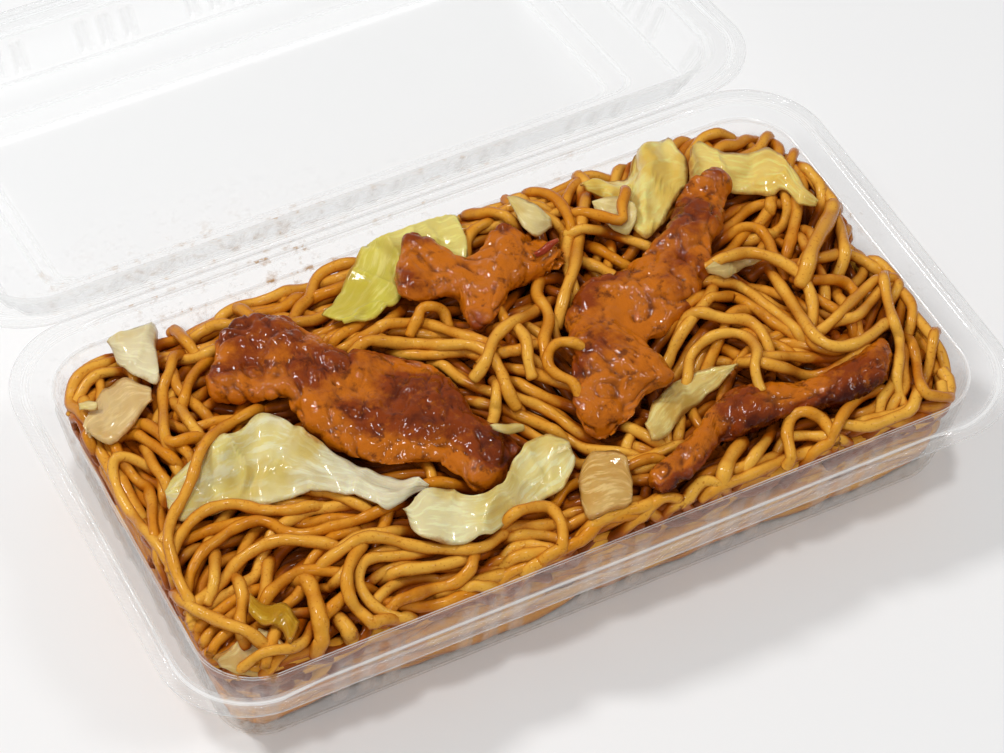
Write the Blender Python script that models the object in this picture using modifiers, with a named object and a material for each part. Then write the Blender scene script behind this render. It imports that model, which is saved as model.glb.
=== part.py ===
"""A clear hinged food pack, open, filled with fried noodles, glazed chicken and cabbage.

The pack stands on z = 0 with its long side along X. Its lid is folded right back over the hinge at +Y.
"""

import math
import random

import bmesh
import bpy
import numpy as np
from mathutils import Vector, noise
from mathutils.bvhtree import BVHTree

MM = 0.001

# Pack, seen from above
PACK_LENGTH = 200 * MM
PACK_WIDTH = 115.4 * MM
CORNER_RADIUS = 20 * MM
CORNER_SHRINK = 0.76
SMALLEST_RADIUS = 5 * MM
SHEET = 0.5 * MM

# Heights and margins of the tray's wall, from the rim inwards
RIM_HEIGHT = 28 * MM
FLANGE_WIDTH = 9.2 * MM
WALL_DRAFT = 4.8 * MM
BEAD_OUTER, BEAD_CREST, BEAD_INNER = 2.2 * MM, 3.1 * MM, 4.0 * MM
BEAD_HEIGHT = 1.0 * MM
BEAD_TAPER = 9 * MM
TRAY_ROLL_IN, TRAY_ROLL_DOWN = 0.2 * MM, 1.2 * MM

# Upright ribs in groups of three
RIB_PITCH = 6.0 * MM
RIB_HALF = 1.7 * MM
RIB_DEPTH = 0.9 * MM
GROUP_PITCH = 28.7 * MM
GROUPS_LONG, GROUPS_SHORT = 5, 2
CORNER_STEPS = 4
RIB_BAND = (0.12, 0.86)

# Lid, as it lies on the tray when closed
LID_WALL_FOOT = 15 * MM
LID_WALL_HEIGHT = 10.5 * MM
LID_LEDGE_END = 25 * MM
LID_LEDGE_HEIGHT = 11.5 * MM
LID_PANEL_MARGIN = 29 * MM
LID_HEIGHT = 15 * MM
LID_ROLL_IN, LID_ROLL_UP = 0.5 * MM, 0.9 * MM
LID_RIB_BAND = (0.25, 0.85)
LID_GAP = 0.4 * MM
HINGE_GAP = 0.15 * MM
FLOOR_GAP = 0.15 * MM

# Food
NOODLE_RADIUS = 1.7 * MM
NOODLE_STEP = 4.6 * MM
NOODLE_LIFT = 1.15 * MM
NOODLE_CLEAR = 2.3 * MM
FOOD_GAP = 0.5 * MM
TRAY_CLEAR = 1.2 * MM
LEAF_THICK, LEAF_STEP, LEAF_ACROSS = 0.8 * MM, 3.6 * MM, 6
LEAF_WAVE, LEAF_WAVES_PER_M = 0.8 * MM, 130
MEAT_STEP, MEAT_AROUND, MEAT_BULGE, MEAT_BULGES_PER_M = 5.8 * MM, 13, 0.16, 180
LEAF_REACH = 3.2 * MM
MEAT_REACH = 5.5 * MM
LEAF_UNDER_LID = 1.6 * MM
MEAT_UNDER_LID = 1.2 * MM
CORE_SPACING = 13 * MM
HEAP_EDGE = 23.5 * MM
HEAP_DOME = 4.8 * MM
HEAP_REACH = 9.0 * MM
HEAP_FADE = 6.0 * MM
HEAP_GRAIN, HEAP_GRAIN_PER_M = 0.7 * MM, 95
CORE_RINGS = (1.0, 0.95, 0.86, 0.74, 0.6, 0.45, 0.3, 0.15)
CELL = 1.0 * MM
GINGER_RADII = (1.9 * MM, 1.2 * MM, 0.9 * MM)
GINGER_PLACE = (19.0 * MM, 24.5 * MM)
GINGER_REACH = 2.2 * MM

# Swells and dips of the noodle heap: centre x, centre y, spread x, spread y, height, all in mm
HEAP_SWELLS = (
    (12, 39, 27, 9, 7.5),
    (62, 34, 17, 11, 4.0),
    (-42, 14, 26, 17, 2.0),
    (8, -4, 40, 26, 2.0),
    (-72, 42, 24, 12, -2.5),
    (86, -26, 9, 24, -1.5),
    (-74, -38, 16, 10, -1.0),
    (55, -22, 16, 10, 1.5),
)

# Strands that show on the heap, as places in mm
STRANDS = (
    ((-87, -28), (-87, -8), (-86, 8), (-83, 16), (-76, 17), (-75, 9), (-80, -6)),
    ((-87, -24), (-81, -15), (-72, -12), (-65, -13), (-60, -18), (-54, -21), (-44, -23), (-36, -28)),
    ((-85, -27), (-74, -22), (-64, -20), (-56, -24), (-45, -29), (-37, -35), (-28, -39), (-16, -42)),
    ((-51, -46), (-58, -40), (-57, -33), (-49, -31), (-39, -36), (-30, -43)),
    ((-87, -33), (-82, -38), (-72, -42), (-62, -45), (-56, -46)),
    ((-12, -45), (-2, -43), (6, -45), (13, -42), (20, -45)),
    ((25, -45), (36, -43), (48, -45), (60, -44), (68, -41)),
    ((50, -43), (58, -39), (68, -38), (79, -42)),
    ((-27, 24), (-10, 13), (-4, 5), (-2, -4), (4, -15)),
    ((14, 12), (9, 1), (4, -6), (1, -12)),
    ((38, 38), (31, 31), (26, 23), (21, 16)),
    ((-10, 42), (2, 44), (14, 45), (27, 44), (34, 40)),
    ((57, 18), (70, 10), (78, -4), (76, -19), (66, -24)),
    ((46, -4), (56, -8), (66, -17), (72, -27)),
    ((86, 22), (88, 6), (87, -12), (85, -28), (82, -42)),
    ((-86, 36), (-76, 42), (-62, 43), (-48, 44), (-32, 43)),
    ((-75, 14), (-68, 24), (-62, 33), (-52, 38), (-38, 40)),
    ((70, 20), (80, 16), (87, 24), (84, 34)),
    ((-44, -39), (-30, -33), (-20, -38), (-8, -40)),
    ((-78, -28), (-66, -30), (-60, -38), (-68, -44)),
    ((22, -38), (12, -36), (4, -38), (-4, -39)),
    ((30, 2), (36, -6), (46, -14), (58, -18)),
    ((60, 13), (70, 4), (80, -2), (85, -12)),
    ((52, 0), (60, -3), (68, -10), (70, -20)),
    ((74, 20), (80, 10), (83, 0), (80, -8)),
    ((-19, 20), (-8, 17), (4, 11), (11, 2)),
    ((-14, 12), (-12, 0), (-8, -10), (-2, -18)),
    ((-56, 33), (-44, 38), (-30, 37), (-22, 42)),
    ((8, 38), (20, 40), (30, 35), (36, 27)),
    ((-70, 11), (-69, 22), (-63, 30), (-55, 38)),
    ((-88, 20), (-80, 22), (-72, 27), (-66, 35)),
    ((-58, -21), (-48, -27), (-39, -31)),
    ((-50, -33), (-42, -39), (-30, -46), (-20, -46)),
    ((8, -37), (18, -41), (30, -40), (42, -37), (54, -38)),
    ((56, -25), (66, -27), (78, -27), (84, -19)),
    ((38, -11), (50, -19), (62, -22)),
)

# Chicken: (x, y, half width, thickness) in mm along each piece
CHICKEN = {
    "chicken_left": (
        (-61, 22, 6, 5), (-55, 24, 10, 10), (-46, 25, 11, 11), (-39, 20, 8.5, 9), (-34, 10, 10.5, 10),
        (-29, 1, 13, 11.5), (-24, -9, 12.5, 10.5), (-19, -18, 8.5, 8.5), (-15, -25, 7.5, 8), (-12, -29, 4, 4),
    ),
    "chicken_right": (
        (65, 28, 3, 4), (61, 24, 5.5, 8), (53, 15, 6.5, 9), (44, 9, 8, 10), (32, 4, 10.5, 11),
        (23, -3, 10, 10.5), (18, -12, 10.5, 10), (12, -20, 9, 8.5), (7, -26, 4, 4),
    ),
    "chicken_back": (
        (-11, 27, 4, 4), (-8, 30, 7, 7), (-3, 31, 8, 8.5), (4, 29, 7, 7.5), (10, 27, 7, 7),
        (15, 25, 7, 7.5), (20, 25, 5.5, 6), (23, 27, 3, 3),
    ),
    "chicken_strip": (
        (76, -31, 3, 3), (71, -32, 5, 6), (61, -32.5, 5, 6.5), (50, -31.5, 5, 6.5), (39, -30.5, 5, 6.5),
        (29, -32, 4.5, 6), (20, -36, 4.5, 5.5), (14, -40, 3, 3),
    ),
}

# Cabbage: (x, y, half width, lift) in mm along each leaf's middle, in the order in which they lie
LEAVES_UNDER = {
    "cabbage_left": (
        (-80, -1, 3, 0.5), (-73, 3, 7, 1.0), (-63, 4, 9.5, 0.8), (-52, -1, 10, 0.5), (-42, -9, 8.5, 0.4),
        (-34, -17, 6, 0.4), (-30, -21, 3, 0.3),
    ),
    "cabbage_bright": (
        (-28, 28, 3, 0.4), (-22, 31, 6, 0.8), (-15, 35, 7.5, 1.4), (-8, 38, 7.5, 1.8), (-1, 41, 6, 1.6),
        (4, 42, 3, 1.0),
    ),
    "cabbage_centre": (
        (-37, -31, 3.5, 0.5), (-30, -29, 7, 0.6), (-21, -29, 7.5, 1.5), (-12, -28, 6.5, 2.4),
        (-5, -25, 5, 3.0), (0, -24, 2.5, 2.2),
    ),
    "cabbage_back_left": (
        (-75, 36, 3, 0.4), (-72, 38, 6, 1.0), (-68, 41, 6.5, 2.0), (-65, 42, 4, 3.0),
    ),
    "cabbage_wall": (
        (-86, 25, 3, 0.4), (-82, 28, 5.5, 0.7), (-77, 31, 5.5, 0.9), (-73, 33, 3, 0.8),
    ),
    "cabbage_top": (
        (37, 35, 3, 0.4), (44, 35, 5, 1.0), (51, 38, 6.5, 2.2), (58, 40, 6.5, 2.6), (62, 41, 3, 1.6),
    ),
    "cabbage_corner": (
        (66, 37, 3, 0.5), (71, 36, 5.5, 1.2), (77, 30, 5.5, 1.4), (81, 23, 4.5, 1.0), (83, 16, 2.5, 0.5),
    ),
    "cabbage_tan": (
        (1, -29, 3, 0.6), (2, -33, 5.5, 0.9), (2, -38, 5.5, 0.8), (1, -43, 3, 0.4),
    ),
    "cabbage_olive": (
        (-74, -31, 2.5, 0.5), (-73, -34, 4, 0.8), (-73, -38, 4, 0.8), (-75, -41, 2.5, 0.5),
    ),
    "cabbage_stem": (
        (-85, -41, 2.5, 0.3), (-82, -41, 4, 0.5), (-79, -41, 4, 0.5), (-77, -42, 2.5, 0.3),
    ),
    "onion_slice": (
        (53, 2.5, 2, 0.6), (58, 4.5, 3.4, 1.0), (64, 4.5, 2.6, 0.8), (67, 3, 1.6, 0.5),
    ),
}
LEAVES_OVER = {
    "cabbage_small": (
        (27, -25, 2.5, 0.3), (31, -23, 4, 0.5), (36, -21, 4, 0.6), (41, -19, 2.5, 0.4),
    ),
}

COLOURS = {
    "tray": ((0.93, 0.95, 0.95), 0.06),
    "lid": ((0.93, 0.95, 0.95), 0.06),
    "noodles": ((0.50, 0.24, 0.045), 0.35),
    "chicken": ((0.30, 0.085, 0.020), 0.22),
    "cabbage": ((0.62, 0.60, 0.22), 0.35),
    "onion": ((0.42, 0.20, 0.06), 0.35),
    "ginger": ((0.40, 0.015, 0.010), 0.30),
}


def clear_scene():
    """Remove whatever the scene holds."""
    for obj in list(bpy.data.objects):
        bpy.data.objects.remove(obj, do_unlink=True)


def new_collection(name):
    """Make a collection in the scene."""
    collection = bpy.data.collections.new(name)
    bpy.context.scene.collection.children.link(collection)
    return collection


def material(name):
    """A plain Principled finish from the colour table."""
    found = bpy.data.materials.get(name)
    if found:
        return found
    colour, roughness = COLOURS[name]
    made = bpy.data.materials.new(name)
    made.use_nodes = True
    shader = made.node_tree.nodes["Principled BSDF"]
    shader.inputs["Base Color"].default_value = (*colour, 1.0)
    shader.inputs["Roughness"].default_value = roughness
    shader.inputs["Metallic"].default_value = 0.0
    if name in ("tray", "lid"):
        shader.inputs["Alpha"].default_value = 0.3
    return made


def face_outwards(bm):
    """Triangulate a closed mesh and turn all its faces outwards."""
    bmesh.ops.triangulate(bm, faces=bm.faces[:])
    bmesh.ops.recalc_face_normals(bm, faces=bm.faces[:])
    if bm.calc_volume(signed=True) < 0:
        bmesh.ops.reverse_faces(bm, faces=bm.faces[:])


def object_from(bm, name, collection, finish):
    """Turn a bmesh into a named object with its finish."""
    mesh = bpy.data.meshes.new(name)
    bm.to_mesh(mesh)
    bm.free()
    mesh.materials.append(material(finish))
    obj = bpy.data.objects.new(name, mesh)
    collection.objects.link(obj)
    return obj


def corner_radius(margin):
    """Radius of the rounded corner of an outline that lies this far inside the pack's edge."""
    return max(CORNER_RADIUS - CORNER_SHRINK * margin, SMALLEST_RADIUS)


def group_places(groups):
    """Where the ribs of a side stand, measured from its middle."""
    middle = (groups - 1) / 2
    return [(g - middle) * GROUP_PITCH + r * RIB_PITCH for g in range(groups) for r in (-1, 0, 1)]


def bead_stations(half, groups):
    """Three places along a straight side: the bead's two ends and its middle."""
    taper = half - BEAD_TAPER
    return [(-taper, 0.0), (0.0, 0.0), (taper, 0.0)]


def rib_stations(half, groups):
    """Three places for each rib along a straight side; the middle one is pushed outwards."""
    places = []
    for centre in group_places(groups):
        places += [(centre - RIB_HALF, 0.0), (centre, 1.0), (centre + RIB_HALF, 0.0)]
    return places


def even_stations(half, groups):
    """Evenly spread places along a straight side."""
    count = round(2 * half / CORE_SPACING)
    return [(half * (2 * (k + 0.5) / count - 1), 0.0) for k in range(count)]


def outline(margin, stations, push=0.0):
    """Points of a rounded rectangle inside the pack's edge, with ribs pushed outwards.

    Returns (x, y, straight) for each point, where straight tells a point between the corners.
    """
    ribbed = stations is rib_stations
    half_x = PACK_LENGTH / 2 - margin
    half_y = PACK_WIDTH / 2 - margin
    radius = corner_radius(margin)
    run_x, run_y = half_x - radius, half_y - radius
    points = []
    sides = (
        (half_y, run_x, GROUPS_LONG, 0.0, -run_x, run_y),
        (half_x, run_y, GROUPS_SHORT, math.pi / 2, -run_x, -run_y),
        (half_y, run_x, GROUPS_LONG, math.pi, run_x, -run_y),
        (half_x, run_y, GROUPS_SHORT, 3 * math.pi / 2, run_x, run_y),
    )
    for reach, run, groups, turn, corner_x, corner_y in sides:
        along = Vector((-math.cos(turn), -math.sin(turn)))
        out = Vector((-math.sin(turn), math.cos(turn)))
        for place, share in stations(run, groups):
            spot = along * place + out * (reach + push * share)
            points.append((spot.x, spot.y, True))
        for step in range(CORNER_STEPS + 1):
            angle = turn + math.pi / 2 + step * math.pi / 2 / CORNER_STEPS
            share = 1.0 if ribbed and step % 2 else 0.0
            reach_here = radius + push * share
            x = corner_x + reach_here * math.cos(angle)
            y = corner_y + reach_here * math.sin(angle)
            points.append((x, y, False))
    return points


def ring(bm, margin, height, ribbed=False, push=0.0, bead=0.0):
    """Add one closed loop of the pack's sheet; the bead stands only on the straight runs."""
    loop = []
    for x, y, straight in outline(margin, rib_stations if ribbed else bead_stations, push):
        lift = bead if straight else 0.0
        loop.append(bm.verts.new((x, y, height + lift)))
    return loop


def loop_edges(bm, loop):
    """Edges round a closed loop, made where they're missing."""
    edges = []
    for first, second in zip(loop, loop[1:] + loop[:1]):
        edges.append(bm.edges.get((first, second)) or bm.edges.new((first, second)))
    return edges


def join_rings(bm, rings):
    """Skin neighbouring loops, and close the last one with a flat face."""
    for first, second in zip(rings, rings[1:]):
        edges = loop_edges(bm, first) + loop_edges(bm, second)
        if len(first) != len(second):
            bmesh.ops.bridge_loops(bm, edges=edges)
            continue
        count = len(first)
        for i in range(count):
            j = (i + 1) % count
            bm.faces.new((first[i], first[j], second[j], second[i]))
    bm.faces.new(rings[-1])


def sheet_object(bm, name, collection, finish, outward_up):
    """Triangulate a sheet, turn its faces one way and give it its thickness."""
    bmesh.ops.triangulate(bm, faces=bm.faces[:])
    bmesh.ops.recalc_face_normals(bm, faces=bm.faces[:])
    tallest = max(bm.faces, key=lambda face: face.calc_area())
    if (tallest.normal.z > 0) != outward_up:
        bmesh.ops.reverse_faces(bm, faces=bm.faces[:])
    obj = object_from(bm, name, collection, finish)
    skin = obj.modifiers.new("Sheet", "SOLIDIFY")
    skin.thickness = SHEET
    skin.offset = 1.0
    skin.use_even_offset = True
    return obj


def flange_rings(bm, height):
    """The flat flange with its raised bead, from the outer edge to the wall."""
    return [
        ring(bm, 0.0, height),
        ring(bm, BEAD_OUTER, height),
        ring(bm, BEAD_CREST, height, bead=BEAD_HEIGHT),
        ring(bm, BEAD_INNER, height),
        ring(bm, FLANGE_WIDTH, height),
    ]


def make_tray(collection):
    """The deep half of the pack; the modelled face is the one inside."""
    bm = bmesh.new()
    floor = SHEET
    low = floor + RIB_BAND[0] * (RIM_HEIGHT - floor)
    high = floor + RIB_BAND[1] * (RIM_HEIGHT - floor)
    rings = flange_rings(bm, RIM_HEIGHT)
    rings.append(ring(bm, FLANGE_WIDTH + TRAY_ROLL_IN, RIM_HEIGHT - TRAY_ROLL_DOWN, True))
    for height in (high, low):
        share = (RIM_HEIGHT - height) / (RIM_HEIGHT - floor)
        rings.append(ring(bm, FLANGE_WIDTH + share * WALL_DRAFT, height, True, RIB_DEPTH))
    rings.append(ring(bm, FLANGE_WIDTH + WALL_DRAFT, floor, True))
    join_rings(bm, rings)
    return sheet_object(bm, "tray", collection, "tray", outward_up=False)


def make_lid(collection):
    """The shallow half, modelled closed about the hinge line and then folded back by its object."""
    bm = bmesh.new()
    rings = flange_rings(bm, LID_GAP / 2)
    rings.append(ring(bm, FLANGE_WIDTH + LID_ROLL_IN, LID_GAP / 2 + LID_ROLL_UP, True))
    for share in LID_RIB_BAND:
        margin = FLANGE_WIDTH + share * (LID_WALL_FOOT - FLANGE_WIDTH)
        rings.append(ring(bm, margin, LID_GAP / 2 + share * LID_WALL_HEIGHT, True, RIB_DEPTH))
    rings.append(ring(bm, LID_WALL_FOOT, LID_GAP / 2 + LID_WALL_HEIGHT, True))
    rings.append(ring(bm, LID_LEDGE_END, LID_GAP / 2 + LID_LEDGE_HEIGHT))
    rings.append(ring(bm, LID_PANEL_MARGIN, LID_GAP / 2 + LID_HEIGHT))
    join_rings(bm, rings)
    bmesh.ops.translate(bm, verts=bm.verts[:], vec=(0, -PACK_WIDTH / 2 - HINGE_GAP, 0))
    lid = sheet_object(bm, "lid", collection, "lid", outward_up=True)
    lid.location = hinge_place()
    lid.rotation_euler = (-math.pi - lid_droop(), 0, 0)
    return lid


def hinge_place():
    """A point on the hinge line: half way between the closed halves' flanges."""
    return Vector((0, PACK_WIDTH / 2 + HINGE_GAP, RIM_HEIGHT + LID_GAP / 2))


def lid_droop():
    """How far past level the lid lies back, so that the far edge of its panel meets the floor."""
    reach = PACK_WIDTH + HINGE_GAP - LID_PANEL_MARGIN
    depth = LID_GAP / 2 + LID_HEIGHT + SHEET
    height = hinge_place().z - FLOOR_GAP
    span = math.hypot(reach, depth)
    return math.asin(height / span) - math.atan2(depth, reach)


def wall_distance(x, y):
    """Distance from the tray's inner rim, for a place inside it."""
    half_x = PACK_LENGTH / 2 - FLANGE_WIDTH
    half_y = PACK_WIDTH / 2 - FLANGE_WIDTH
    radius = corner_radius(FLANGE_WIDTH)
    over_x = abs(x) - (half_x - radius)
    over_y = abs(y) - (half_y - radius)
    outside = math.hypot(max(over_x, 0), max(over_y, 0))
    return radius - outside - min(max(over_x, over_y), 0)


def heap_height(x, y):
    """Height of the bare core of the noodle heap."""
    reach = max(wall_distance(x, y), 0)
    height = HEAP_EDGE + HEAP_DOME * (1 - math.exp(-reach / HEAP_REACH))
    fade = min(reach / HEAP_FADE, 1)
    for cx, cy, sx, sy, swell in HEAP_SWELLS:
        away = ((x / MM - cx) / sx) ** 2 + ((y / MM - cy) / sy) ** 2
        height += swell * MM * math.exp(-away) * (0.4 + 0.6 * fade)
    return height + HEAP_GRAIN * noise.noise(Vector((x, y, 0.0)) * HEAP_GRAIN_PER_M)


def make_core(collection):
    """The inner mass of noodles: domed rings on a body that follows the tray's wall."""
    bm = bmesh.new()
    floor = SHEET + FOOD_GAP
    edge = FLANGE_WIDTH + TRAY_CLEAR
    loops = []

    def loop_at(margin, scale, height=None):
        """One ring of the core, at a fixed height or on the heap's surface."""
        loop = []
        for x, y, _ in outline(margin, even_stations):
            z = heap_height(x * scale, y * scale) if height is None else height
            loop.append(bm.verts.new((x * scale, y * scale, z)))
        return loop

    loops.append(loop_at(edge + WALL_DRAFT, 1.0, floor))
    rim_share = (RIM_HEIGHT - HEAP_EDGE) / RIM_HEIGHT
    loops += [loop_at(edge + rim_share * WALL_DRAFT, scale) for scale in CORE_RINGS]
    bm.faces.new(loops[0])
    join_rings(bm, loops)
    face_outwards(bm)
    return object_from(bm, "noodles", collection, "noodles")


def smooth_path(places, step):
    """A Catmull-Rom curve through the places, cut into steps of about one length."""
    points = [Vector(p) for p in places]
    ends = [points[0] * 2 - points[1]] + points + [points[-1] * 2 - points[-2]]
    path = []
    for i in range(1, len(ends) - 2):
        a, b, c, d = ends[i - 1], ends[i], ends[i + 1], ends[i + 2]
        pieces = max(1, round((c - b).length / step))
        for k in range(pieces):
            t = k / pieces
            path.append(0.5 * (2 * b + (c - a) * t + (2 * a - 5 * b + 4 * c - d) * t ** 2
                               + (3 * b - a - 3 * c + d) * t ** 3))
    return path + [ends[-2]]


class Ground:
    """A height map of what already lies in the tray, which each new topping rests on."""

    def __init__(self):
        self.half_x = PACK_LENGTH / 2
        self.half_y = PACK_WIDTH / 2
        self.nx = round(PACK_LENGTH / CELL) + 1
        self.ny = round(PACK_WIDTH / CELL) + 1
        self.core = np.zeros((self.nx, self.ny))
        for i in range(self.nx):
            for j in range(self.ny):
                self.core[i, j] = heap_height(i * CELL - self.half_x, j * CELL - self.half_y)
        self.top = self.core.copy()

    def window(self, x, y, reach):
        """Slices that cover the cells within reach of a place."""
        i, j = round((x + self.half_x) / CELL), round((y + self.half_y) / CELL)
        r = max(1, math.ceil(reach / CELL))
        return (slice(max(i - r, 0), min(i + r + 1, self.nx)),
                slice(max(j - r, 0), min(j + r + 1, self.ny)))

    def highest(self, x, y, reach):
        """The highest point near a place."""
        return float(self.top[self.window(x, y, reach)].max())

    def covered(self, x, y, reach):
        """Whether a topping lies near a place."""
        area = self.window(x, y, reach)
        return bool((self.top[area] > self.core[area] + 1e-6).any())

    def add(self, obj):
        """Raise the map to the top of a finished topping."""
        graph = bpy.context.evaluated_depsgraph_get()
        tree = BVHTree.FromObject(obj, graph)
        box = [Vector(corner) for corner in obj.bound_box]
        low = Vector([min(c[k] for c in box) for k in range(3)])
        high = Vector([max(c[k] for c in box) for k in range(3)])
        down = Vector((0, 0, -1))
        for i in range(max(0, math.floor((low.x + self.half_x) / CELL)),
                       min(self.nx, math.ceil((high.x + self.half_x) / CELL) + 1)):
            for j in range(max(0, math.floor((low.y + self.half_y) / CELL)),
                           min(self.ny, math.ceil((high.y + self.half_y) / CELL) + 1)):
                start = Vector((i * CELL - self.half_x, j * CELL - self.half_y, 0.1))
                hit = tree.ray_cast(start, down)[0]
                if hit:
                    self.top[i, j] = max(self.top[i, j], hit.z)


def lid_ceiling(x, y):
    """Height of the closed lid's inner face above a place."""
    margin = FLANGE_WIDTH + wall_distance(x, y)
    places = (FLANGE_WIDTH, LID_WALL_FOOT, LID_LEDGE_END, LID_PANEL_MARGIN)
    heights = (0.0, LID_WALL_HEIGHT, LID_LEDGE_HEIGHT, LID_HEIGHT)
    return RIM_HEIGHT + LID_GAP + float(np.interp(margin, places, heights))


def frames_along(stations, step):
    """Even steps along a piece: middle, sideways direction, half width and the fourth value."""
    path = smooth_path([(x * MM, y * MM, w * MM, t * MM) for x, y, w, t in stations], step)
    frames = []
    for i, spot in enumerate(path):
        ahead = path[min(i + 1, len(path) - 1)] - path[max(i - 1, 0)]
        side = Vector((-ahead[1], ahead[0])).normalized()
        frames.append((Vector((spot[0], spot[1])), side, max(spot[2], 1 * MM), spot[3]))
    return frames


def make_chicken(name, stations, ground, collection):
    """A lumpy piece of meat: rounded sections along its middle, resting on what lies below."""
    bm = bmesh.new()
    seed = Vector((sum(map(ord, name)) * 0.37, 0, 0))
    rings = []
    for spot, side, half, thick in frames_along(stations, MEAT_STEP):
        loop = []
        for k in range(MEAT_AROUND):
            angle = 2 * math.pi * k / MEAT_AROUND
            across, rise = math.cos(angle), math.sin(angle)
            grain = noise.noise(Vector((*spot, angle * 4 * MM)) * MEAT_BULGES_PER_M + seed)
            bulge = 1 + MEAT_BULGE * grain
            place = spot + side * (half * across * bulge)
            rest = ground.highest(place.x, place.y, MEAT_REACH) + FOOD_GAP
            top = rest + thick * (0.30 + 0.70 * max(rise, 0) ** 0.7) * bulge
            z = rest if rise < -0.3 else top if rise > 0.1 else rest + thick * 0.2
            limit = lid_ceiling(place.x, place.y) - MEAT_UNDER_LID
            loop.append(bm.verts.new((place.x, place.y, min(z, limit))))
        rings.append(loop)
    bm.faces.new(rings[0])
    join_rings(bm, rings)
    face_outwards(bm)
    obj = object_from(bm, name, collection, "chicken")
    bpy.context.view_layer.update()
    ground.add(obj)
    return obj


def make_leaf(name, stations, ground, collection, finish="cabbage"):
    """A thin wavy leaf: a sheet across its middle line, lifted off what lies below."""
    bm = bmesh.new()
    seed = Vector((sum(map(ord, name)) * 0.21, 0, 0))
    rows = []
    for spot, side, half, lift in frames_along(stations, LEAF_STEP):
        row = []
        for k in range(LEAF_ACROSS + 1):
            share = 2 * k / LEAF_ACROSS - 1
            ragged = 1 + 0.14 * noise.noise(Vector((*spot, share)) * 160 + seed)
            place = spot + side * (half * share * ragged)
            wave = 1 + noise.noise(Vector((place.x, place.y, 0)) * LEAF_WAVES_PER_M + seed)
            rest = ground.highest(place.x, place.y, LEAF_REACH) + FOOD_GAP
            z = rest + lift * (0.5 + abs(share)) + LEAF_WAVE * wave
            limit = lid_ceiling(place.x, place.y) - LEAF_THICK - LEAF_UNDER_LID
            row.append(bm.verts.new((place.x, place.y, min(z, limit))))
        rows.append(row)
    for first, second in zip(rows, rows[1:]):
        for k in range(LEAF_ACROSS):
            bm.faces.new((first[k], first[k + 1], second[k + 1], second[k]))
    bmesh.ops.triangulate(bm, faces=bm.faces[:])
    bmesh.ops.recalc_face_normals(bm, faces=bm.faces[:])
    if sum(face.normal.z for face in bm.faces) < 0:
        bmesh.ops.reverse_faces(bm, faces=bm.faces[:])
    obj = object_from(bm, name, collection, finish)
    skin = obj.modifiers.new("Thickness", "SOLIDIFY")
    skin.thickness = LEAF_THICK
    skin.offset = 1.0
    bpy.context.view_layer.update()
    ground.add(obj)
    return obj


def make_ginger(ground, collection):
    """A small red shred of pickled ginger on the back piece of chicken."""
    bm = bmesh.new()
    bmesh.ops.create_uvsphere(bm, u_segments=8, v_segments=5, radius=1.0)
    bmesh.ops.scale(bm, verts=bm.verts[:], vec=GINGER_RADII)
    x, y = GINGER_PLACE
    height = ground.highest(x, y, GINGER_REACH) + FOOD_GAP + GINGER_RADII[2]
    obj = object_from(bm, "ginger_shred", collection, "ginger")
    obj.location = (x, y, height)
    return obj


def clear_runs(path, ground):
    """The stretches of a path that stay clear of every topping."""
    runs, run = [], []
    for spot in path:
        blocked = ground.covered(spot[0], spot[1], NOODLE_CLEAR)
        if wall_distance(spot[0], spot[1]) < NOODLE_RADIUS + 1.0 * MM:
            blocked = True
        if blocked:
            runs.append(run)
            run = []
        else:
            run.append(spot)
    runs.append(run)
    return [r for r in runs if len(r) >= 3]


def make_strands(ground, collection):
    """Noodles that show on the heap, each a tube of few sides, sunk into the core by half."""
    rng = random.Random(1)
    made = []
    for places in STRANDS:
        path = smooth_path([(x * MM, y * MM) for x, y in places], NOODLE_STEP)
        for run in clear_runs(path, ground):
            curve = bpy.data.curves.new("strand", "CURVE")
            curve.dimensions = "3D"
            curve.bevel_depth = NOODLE_RADIUS * rng.uniform(0.94, 1.06)
            curve.bevel_resolution = 1
            curve.use_fill_caps = True
            spline = curve.splines.new("POLY")
            spline.points.add(len(run) - 1)
            for point, (x, y) in zip(spline.points, run):
                height = heap_height(x, y) + NOODLE_LIFT * rng.uniform(0.75, 1.25)
                point.co = (x, y, min(height, lid_ceiling(x, y) - NOODLE_CLEAR), 1)
            tube = bpy.data.objects.new("strand", curve)
            collection.objects.link(tube)
            made.append(tube)
    bpy.context.view_layer.update()
    return [mesh_from_curve(tube, collection) for tube in made]


def mesh_from_curve(tube, collection):
    """A closed mesh object in place of a curve object."""
    graph = bpy.context.evaluated_depsgraph_get()
    mesh = bpy.data.meshes.new_from_object(tube.evaluated_get(graph))
    bm = bmesh.new()
    bm.from_mesh(mesh)
    bmesh.ops.remove_doubles(bm, verts=bm.verts[:], dist=1e-5)
    face_outwards(bm)
    bm.to_mesh(mesh)
    bm.free()
    solid = bpy.data.objects.new("strand_mesh", mesh)
    collection.objects.link(solid)
    solid.matrix_world = tube.matrix_world
    bpy.data.objects.remove(tube, do_unlink=True)
    return solid


def keep_largest_body(mesh):
    """Drop loose scraps and the walls of sealed hollows from a joined mesh."""
    bm = bmesh.new()
    bm.from_mesh(mesh)
    left = set(bm.verts)
    bodies = []
    while left:
        body, reach = set(), [left.pop()]
        while reach:
            vert = reach.pop()
            body.add(vert)
            for edge in vert.link_edges:
                other = edge.other_vert(vert)
                if other in left:
                    left.discard(other)
                    reach.append(other)
        bodies.append(body)
    largest = max(bodies, key=len)
    for body in bodies:
        if body is not largest:
            bmesh.ops.delete(bm, geom=list(body), context="VERTS")
    bm.to_mesh(mesh)
    bm.free()


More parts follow.
